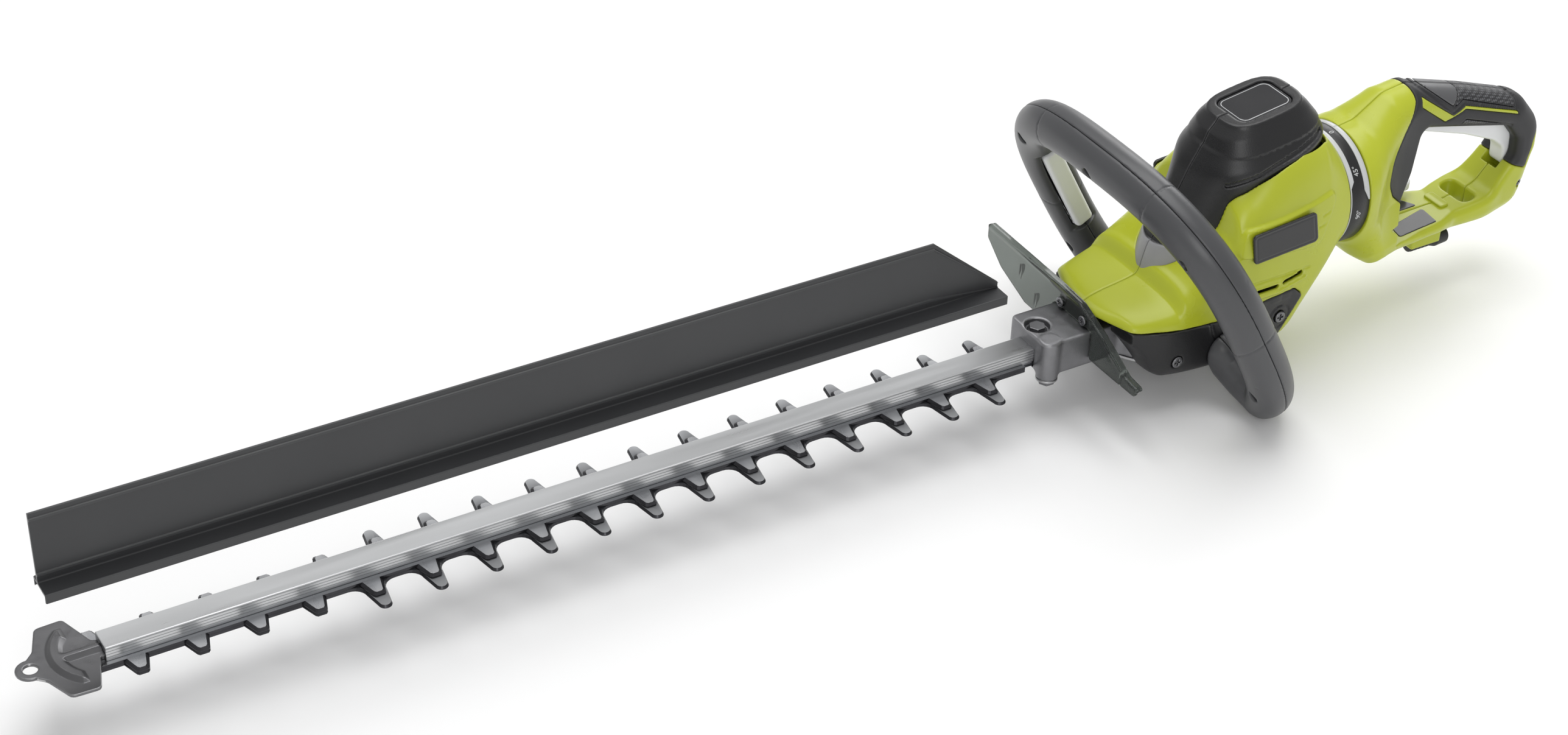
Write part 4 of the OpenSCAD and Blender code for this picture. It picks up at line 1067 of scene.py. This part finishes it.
def build_ring():
    full = np.radians(np.arange(0, 361, 2.5))
    band = ring_skin([(0, RING_FRONT)], [(0, RING_REAR)], *BAND_RADII, full)
    skin_piece("angle_band", swept(band, caps=False), "angle_ring")
    strips = []
    for side in (1, -1):
        for last, front, rear in ((130, [(0, RING_FRONT + 0.15)], FRONT_STRIP),
                                  (80, REAR_STRIP, [(0, RING_REAR - 0.15)])):
            angles = np.radians(np.arange(0, last + 0.1, 2)) * side
            points, faces = swept(ring_skin(front, rear, *STRIP_RADII, angles))
            strips.append((points, [face[::side] for face in faces]))
    skin_piece("ring_strips", joined(strips), "ring_bezel")
    build_mark("0", math.radians(6), 1)
    for text, angle in (("45°", 51), ("90°", 93)):
        for side in (1, -1):
            build_mark(text, math.radians(angle), side)


def build_mark(text, angle, side):
    """A raised figure on the ring, bent to its curve."""
    curve = bpy.data.curves.new("mark", "FONT")
    curve.body, curve.size, curve.extrude = text, 5.0, 0.12
    curve.align_x, curve.align_y = "CENTER", "CENTER"
    holder = new_object("mark", curve)
    flat = evaluated(holder).to_mesh()
    faces = [list(p.vertices) for p in flat.polygons]
    points = []
    for vertex in flat.vertices:
        u, v, w = vertex.co
        a = angle - side * u / MARK_R
        r = MARK_LOW + w
        points.append((MARK_X - v, -side * r * math.sin(a), PIVOT_Z + r * math.cos(a)))
    bpy.data.objects.remove(holder)
    name = "mark_%d_%s" % (round(math.degrees(angle)), "left" if side > 0 else "right")
    piece = mesh_piece(name, np.array(points), faces, looks["silver_plastic"], smooth=False)
    attach(piece, body_of["angle_ring"])


def beam_top(x):
    """Height of the lower beam's upper side."""
    return np.interp(x, [886, 950], [18.6, 20.0])


def build_labels():
    """Plain plates on the beam."""
    plates = {"label_near": [(901.5, -10), (898.5, -23), (933, -20), (935, -2.8)],
              "label_far": [(903, 2), (902, 15), (928, 15), (935, 2)]}
    for name, corners in plates.items():
        block = Block((890, -27, 17), (938, 20, 22), 0.45)
        outline = outline_field(block.x, block.y, rounded([(*c, 1.5) for c in corners]))
        level = beam_top(block.x)
        field = round_both(0.2, outline, slab(block.z, level - 0.5, level + 0.35))
        piece = mesh_piece(name, *surface(field, block), looks["badge_gloss"])
        attach(piece, "rear_handle")


# ---- gear case
CASE_BOTTOM, CASE_TOP = -4.2, 19.8
GEAR_X, MOTOR_X = 715.0, 759.0
CASE_R, ROOM_R, POCKET_R, POCKET_ROOM_R = 44.5, 41.5, 10.4, 8
NOSE_HALF = 20
LUG_X, LUG_Y = 624.5, -14.5
BOLT_X, BOLT_Y = 627, 3


def build_gear_case():
    """Casting with a nose over the blades, a clamp lug and tabs for the guard."""
    block = Block((616, -46, -9), (770, 46, 30), 0.85)
    x, y, z = block.grid
    round_part = np.hypot(x - GEAR_X, y) - CASE_R
    pocket = np.hypot(x - MOTOR_X, y) - POCKET_R
    nose = round_both(4.0, slab(x, RAIL_END, GEAR_X), np.abs(y) - NOSE_HALF)
    plan = round_either(3.0, round_part, pocket, nose)
    field = round_both(1.6, plan, slab(z, CASE_BOTTOM, CASE_TOP))
    field = round_either(1.6, field, rod(x - LUG_X, y - LUG_Y, z, 7, -7.5, CASE_TOP, 1.6))
    for side in (-1, 1):
        tab = both(slab(x, GUARD_X + GUARD_T, GUARD_X + GUARD_T + 3.2), np.abs(y - side * GUARD_SCREW_Y) - 4,
                   slab(z, CASE_TOP - 1, CASE_TOP + 8.4))
        field = either(field, tab)
    field = minus(field, both(slab(x, 600, 682), np.abs(y) - 8, slab(z, -3.4, 3.2)), 0.4)
    room = either(np.hypot(x - GEAR_X, y) - ROOM_R, np.hypot(x - MOTOR_X, y) - POCKET_ROOM_R)
    field = minus(field, both(room, z - 17.6), 0.4)
    field = minus(field, rod(x - BOLT_X, y - BOLT_Y, z, 8, 15.5, 40, 0.3), 0.8)
    for sx, reach in ((GEAR_X, 4.1), (MOTOR_X, 3.1)):
        field = minus(field, rod(x - sx, y, z, reach, 10, 30), 0.2)
    field_piece("gear_case_casting", field, block, "gear_case")


def hex_head(across, low, high):
    """A hexagon head or nut, with its upper corners cut by a cone."""
    block = Block((-across, -across, low - 0.3), (across, across, high + 0.3), 0.3)
    sides = hexagon(block.x, block.y, across / 2)
    cone = np.hypot(block.x, block.y) + 1.2 * (block.z - high) - across / 2 - 0.4
    return surface(round_both(0.25, sides, slab(block.z, low, high), cone), block)


def build_case_bolts():
    up = (0, 0, 1)
    centre, lug = [((BOLT_X, BOLT_Y, 0), up)], [((LUG_X, LUG_Y, 0), up)]
    bolt = placed([hex_head(9.4, 15.6, 19.6), tube_skin(2.6, 5, 15.7), tube_skin(6.4, 15.5, 16.2)], centre)
    clamp = placed([tube_skin(2.6, -12.4, 12)], lug)
    skin_piece("case_bolt_set", joined([bolt, clamp]), "case_bolts")
    nut = placed([hex_head(9.4, -11.8, -8.8), tube_skin(7, -8.7, -7.55)], lug)
    skin_piece("case_nut_set", nut, "case_nut")


# ---- cutting bar
PITCH, TEETH = 34.0, 18
SPINE_HALF, BLADE_X0, BLADE_T, BLADE_GAP = 11.0, 10.0, 1.92, 0.1
BLADE_SCREWS = [42 + 2.2 * PITCH * i for i in range(8)]
BLADE_SCREW_Z = -BLADE_T - 0.2
STROKE, SCREW_R, CAM_R = 7.0, 2.5, 8.0
SLOT_HALF = STROKE + SCREW_R + 0.4
YOKE_X, YOKE_Y = CAM_R + 2 * STROKE + 0.5, CAM_R + STROKE + 0.5
SHORT_LAST = 4
FINGER_REACH, TOOTH_REACH, SHORT_REACH = 29.85, 24, 22.5


def short_tooth(x, tip, inset):
    """Outline of a pointed tooth at x, drawn in by the inset to make a bevel."""
    root = 7.14 - inset
    end, reach = 3.4 - 0.55 * inset, tip - 0.8 * inset
    return [(x - root, SPINE_HALF), (x - end - 0.3, reach - 1.2), (x - end + 0.8, reach),
            (x + end - 0.8, reach), (x + end + 0.3, reach - 1.2), (x + root, SPINE_HALF)]


def finger(x, tip, inset):
    """Outline of a finger at x with a round tip, drawn in by the inset."""
    turn = np.radians(np.linspace(0, 90, 7))
    waist, tip_r = 6.0 - inset, 4.0 - inset
    flank = [(waist + 8 * (1 - math.sin(a)), SPINE_HALF + 8 * (1 - math.cos(a))) for a in turn]
    over = np.radians(np.linspace(0, 180, 13))
    arc = [(tip_r * math.cos(a), tip + tip_r * math.sin(a)) for a in over]
    return [(x - u, v) for u, v in flank + arc] + [(x + u, v) for u, v in flank[::-1]]


def tooth_row(fingers, inset, count, shift, short_count):
    """Outline of one side's teeth, from the tip to the rear."""
    row = []
    for k in range(1, count + 1):
        x = PITCH * (k - shift)
        if fingers and k > short_count:
            row += finger(x, FINGER_REACH, inset)
        else:
            row += short_tooth(x, TOOTH_REACH if k > SHORT_LAST else SHORT_REACH, inset)
    return row


def blade_outline(fingers, inset):
    """A whole blade: the near and far teeth, the spine and the yoke plate at the rear."""
    near = [(u, -v) for u, v in tooth_row(fingers, inset, TEETH - 1, 0, SHORT_LAST)]
    far = tooth_row(fingers, inset, TEETH, 0.5, SHORT_LAST + 1)
    rear, ox, oy = RAIL_END - 8, YOKE_X + 3, YOKE_Y + 3
    tail = [(rear, -SPINE_HALF), (rear, -7), (GEAR_X - ox, -7), (GEAR_X - ox, -oy), (GEAR_X + ox, -oy)]
    return np.array([(BLADE_X0, -SPINE_HALF)] + near + tail + [(u, -v) for u, v in tail[::-1]]
                    + far[::-1] + [(BLADE_X0, SPINE_HALF)])


def box_skin(low, high):
    """The six faces of a box between two corners."""
    corners = [(low[0], low[1]), (high[0], low[1]), (high[0], high[1]), (low[0], high[1])]
    return swept([[(x, y, z) for x, y in corners] for z in (low[2], high[2])])


def carve(piece, boxes):
    """Cuts boxes, in design millimetres, out of a piece."""
    skin = joined([box_skin(low, high) for low, high in boxes])
    cutter = mesh_piece("cutter", *skin, piece.data.materials[0])
    tool = piece.modifiers.new("cut", "BOOLEAN")
    tool.operation, tool.solver, tool.object = "DIFFERENCE", "EXACT", cutter
    mesh = bpy.data.meshes.new_from_object(evaluated(piece))
    piece.modifiers.remove(tool)
    piece.data = mesh
    bpy.data.objects.remove(cutter)


def build_blade(node, low, fingers):
    """One blade; the upper side of each tooth is ground to a bevel."""
    ground = 0.9 if fingers else 2.0
    layers = [(low, 0.12), (low + 0.15, 0.0), (low + 0.3 * BLADE_T, 0.0), (low + BLADE_T, ground)]
    rings = [[(x, y, z) for x, y in blade_outline(fingers, inset)] for z, inset in layers]
    piece = mesh_piece(node + "_strip", *swept(rings), looks[slot_of[node]], smooth=False)
    reach = SLOT_HALF, SCREW_R + 0.3
    places = [(x, reach) for x in BLADE_SCREWS] + [(GEAR_X, (YOKE_X, YOKE_Y))]
    carve(piece, [((x - u, -v, low - 2), (x + u, v, low + 4)) for x, (u, v) in places])

    def on_flank(at, normal):
        return abs(normal.z) < 0.95 and abs(at[1]) > SPINE_HALF - 0.5

    # painted shade: the flanks take the near-black steel, and the tooth tops keep the blade's own colour
    paint(piece, looks["ground_steel"], on_flank)
    attach(piece, body_of[node], [node])


def build_rail():
    """Bar whose sides have steps, like stacked plates."""
    half, steps = 8.2, 4
    dz = (RAIL_TOP - RAIL_FLOOR - 1.6) / steps
    side = [(half, RAIL_FLOOR + 0.3)]
    for i in range(steps):
        z = RAIL_FLOOR + 0.8 + i * dz
        side += [(half, z), (half, z + dz - 0.35), (half - 0.2, z + dz - 0.3), (half - 0.2, z + dz - 0.1)]
    side += [(half, RAIL_TOP - 0.9), (half - 0.25, RAIL_TOP - 0.3), (half - 0.8, RAIL_TOP)]
    outline = [(half - 0.3, RAIL_FLOOR)] + side
    outline += [(-y, z) for y, z in outline[::-1]]
    stations = [(RAIL_START, 0.97), (RAIL_START + 0.4, 1.0), (RAIL_END - 0.4, 1.0), (RAIL_END - 0.02, 0.98)]
    middle = (RAIL_FLOOR + RAIL_TOP) / 2
    rings = [[(x, y * k, middle + (z - middle) * k) for y, z in outline] for x, k in stations]
    skin_piece("guide_rail_bar", swept(rings), "guide_rail", smooth=False)


TIP_Z, TIP_T, LOBE_X = 4.4, 2.0, -20.0
TIP_OUTLINE = rounded([
    (21.7, -6, 0), (21.7, 6, 0), (16, 8, 2), (8, 31.5, 3), (-8, 30.8, 4), (-15, 13, 6), (-20, 8, 3),
    (-20, -8, 3), (-15, -13, 6), (-8, -30.8, 4), (8, -31.5, 3), (16, -8, 2)])


def build_tip():
    block = Block((-29.5, -33, 1), (20, 33, 9.8), 0.42)
    x, y, z = block.grid
    plan = either(outline_field(x, y, TIP_OUTLINE), np.hypot(x - LOBE_X, y) - 8.18)
    top = TIP_Z + TIP_T
    crescent = both(np.abs(np.hypot(x - 22, y) - 27.5) - 3.4, slab(x, -12, 3.5), np.abs(y) - 23)
    stem = both(np.abs(y) - 2.6, slab(x, -4, 19))
    emboss = round_either(1.5, crescent, stem)
    rise = 2.1 * inside_share(emboss, 2.6)
    field = round_both(0.5, plan, slab(z - rise, TIP_Z, top))
    field = either(field, round_both(0.4, slab(x, RAIL_START - 8, RAIL_START), np.abs(y) - 6,
                                     slab(z, RAIL_FLOOR, TIP_Z + 0.5)))
    field = minus(field, rod(x - LOBE_X, y, z, 4, 0, 12), 0.5)
    field = minus(field, rod(x - (RAIL_START - 4), y, z, 2.6, 0, TIP_Z), 0.1)
    field = np.maximum(field, x - RAIL_START + 0.03)
    field_piece("tip_plate_stamping", field, block, "tip_plate", looks["tip_steel"])
    build_screws("tip_screws", (2.45, 1.2, "hex"), (2.3, -1.1),
                 [((RAIL_START - 4, 0, RAIL_FLOOR + 1.2), (0, 0, -1))])


SWEEP_X0, SWEEP_X1, SWEEP_CUT = -9.0, 593.0, 48.0
SWEEPER_LIFT, FIN_H = 46.24, 44.0
SWEEPER_BEADS = [(41.2, 0), (40.8, 0.8), (39.6, 0.8), (39.2, 0), (6.4, 0), (6.0, 0.9), (4.6, 0.9), (4.2, 0)]


def build_sweeper():
    """Clip-on base with a tall leaning fin that slopes down at its rear end."""
    base_z = RAIL_TOP + SWEEPER_LIFT
    clip, lip, roof, lean, fin, thick = 9.6, 4.3, 1.5, 1.5, 2.2, 1.8
    profile = rounded([
        (-clip, -lip, 0.3), (-clip + 1, -lip, 0.3), (-clip + 1, 0, 0.2), (clip - 1, 0, 0.2),
        (clip - 1, -lip, 0.3), (clip, -lip, 0.3), (clip, roof, 0.6), (fin + thick, roof, 0.8),
        (fin + thick + lean, FIN_H + roof, 0.7), (fin + lean, FIN_H + roof, 0.7)]
        + [(fin + lean * h / FIN_H - out, h + roof, 0) for h, out in SWEEPER_BEADS]
        + [(fin, roof, 0.8), (-clip, roof, 0.6)], 3)
    slope = SWEEP_X1 - SWEEP_CUT
    stations = [SWEEP_X0, SWEEP_X0 + 0.5, slope - 2, slope, SWEEP_X1 - 0.5, SWEEP_X1]
    rings = []
    for x in stations:
        top = np.interp(x, [slope, SWEEP_X1], [FIN_H + roof, 5.2])
        shrink = 0.96 if x in (SWEEP_X0, SWEEP_X1) else 1.0
        share = (top - roof) / FIN_H
        ring = []
        for y, z in profile:
            if z <= roof:
                ring.append((x, y * shrink, base_z + z))
                continue
            off = y - fin - lean * (z - roof) / FIN_H
            height = roof + (z - roof) * share
            ring.append((x, fin + lean * share * (z - roof) / FIN_H + off, base_z + height))
        rings.append(ring)
    piece = skin_piece("sweeper_fin", swept(rings), "sweeper", smooth=False)
    bevel = piece.modifiers.new("edges", "BEVEL")
    bevel.width, bevel.segments = 0.25 * MM, 2
    bevel.limit_method, bevel.angle_limit = "ANGLE", math.radians(30)
    bevel.harden_normals = False


# ---- pieces that keep their CAD shape
def dress_inner_nodes():
    for node, thing in frame["nodes"].items():
        if not thing.hide_render:
            thing.data.materials.clear()
            thing.data.materials.append(looks[slot_of[node]])


# ---- studio
# the photo's camera: its place and axes in the design frame, worked out from the photo
CAMERA_AT = (-301.8, -1193.6, 1023.6)
CAMERA_RIGHT = (0.86008, -0.50916, 0.03184)
CAMERA_DOWN = (-0.26767, -0.50352, -0.82147)
CAMERA_FORWARD = (0.43430, 0.69801, -0.56936)
LENS, SENSOR = 66.78, 36.0


def build_camera():
    bpy.context.scene.view_settings.view_transform = "Standard"
    data = bpy.data.cameras.new("photo_view")
    data.lens, data.sensor_width, data.sensor_fit = LENS, SENSOR, "HORIZONTAL"
    data.dof.use_dof = False
    data.clip_start, data.clip_end = 0.05, 50
    camera = new_object("photo_view", data)
    place = (np.array(CAMERA_AT) + ORIGIN) * MM
    axes = Matrix([CAMERA_RIGHT, [-c for c in CAMERA_DOWN], [-c for c in CAMERA_FORWARD]]).transposed()
    camera.matrix_world = Matrix.Translation(place) @ axes.to_4x4()
    bpy.context.scene.camera = camera


def build_studio():
    floor_mesh = bpy.data.meshes.new("floor")
    size = 12.0
    corners = [(-size, -size, 0), (size, -size, 0), (size, size, 0), (-size, size, 0)]
    floor_mesh.from_pydata(corners, [], [(0, 1, 2, 3)])
    floor_mesh.materials.append(Look("floor", (0.93, 0.93, 0.93), 0.6).shade(1.5, 0.01).material)
    floor = new_object("floor", floor_mesh)
    floor.location.z = -0.001
    world = bpy.data.worlds.new("studio")
    world.use_nodes = True
    sky = world.node_tree.nodes["Background"].inputs
    sky["Color"].default_value = (1, 1, 1, 1)
    sky["Strength"].default_value = 0.55
    bpy.context.scene.world = world
    for name, place, target, size, power in (
            ("overhead", (0.3, 0.5, 2.4), (0.1, 0, 0), 2.2, 40),
            ("left", (-0.9, -2.0, 1.3), (0.2, 0, 0.1), 1.2, 12),
            ("rear", (1.8, 1.2, 0.9), (0.3, 0, 0.1), 1.0, 8)):
        light = bpy.data.lights.new(name, "AREA")
        light.size, light.energy = size, power
        lamp = new_object(name, light)
        lamp.location = place
        lamp.rotation_euler = (Vector(target) - Vector(place)).to_track_quat("-Z", "Y").to_euler()


# ---- the whole trimmer
for build in (build_housing, build_base, build_cover, build_cap, build_side_badges, build_loop,
              build_paddles, build_guard, build_all_screws, build_handle, build_hook, build_lock,
              build_trigger, build_inlet, build_ring, build_labels, build_gear_case, build_case_bolts,
              build_rail, build_tip, build_sweeper):
    build()
build_blade("upper_blade", BLADE_GAP, False)
build_blade("lower_blade", -BLADE_T, True)
dress_inner_nodes()
build_camera()
build_studio()
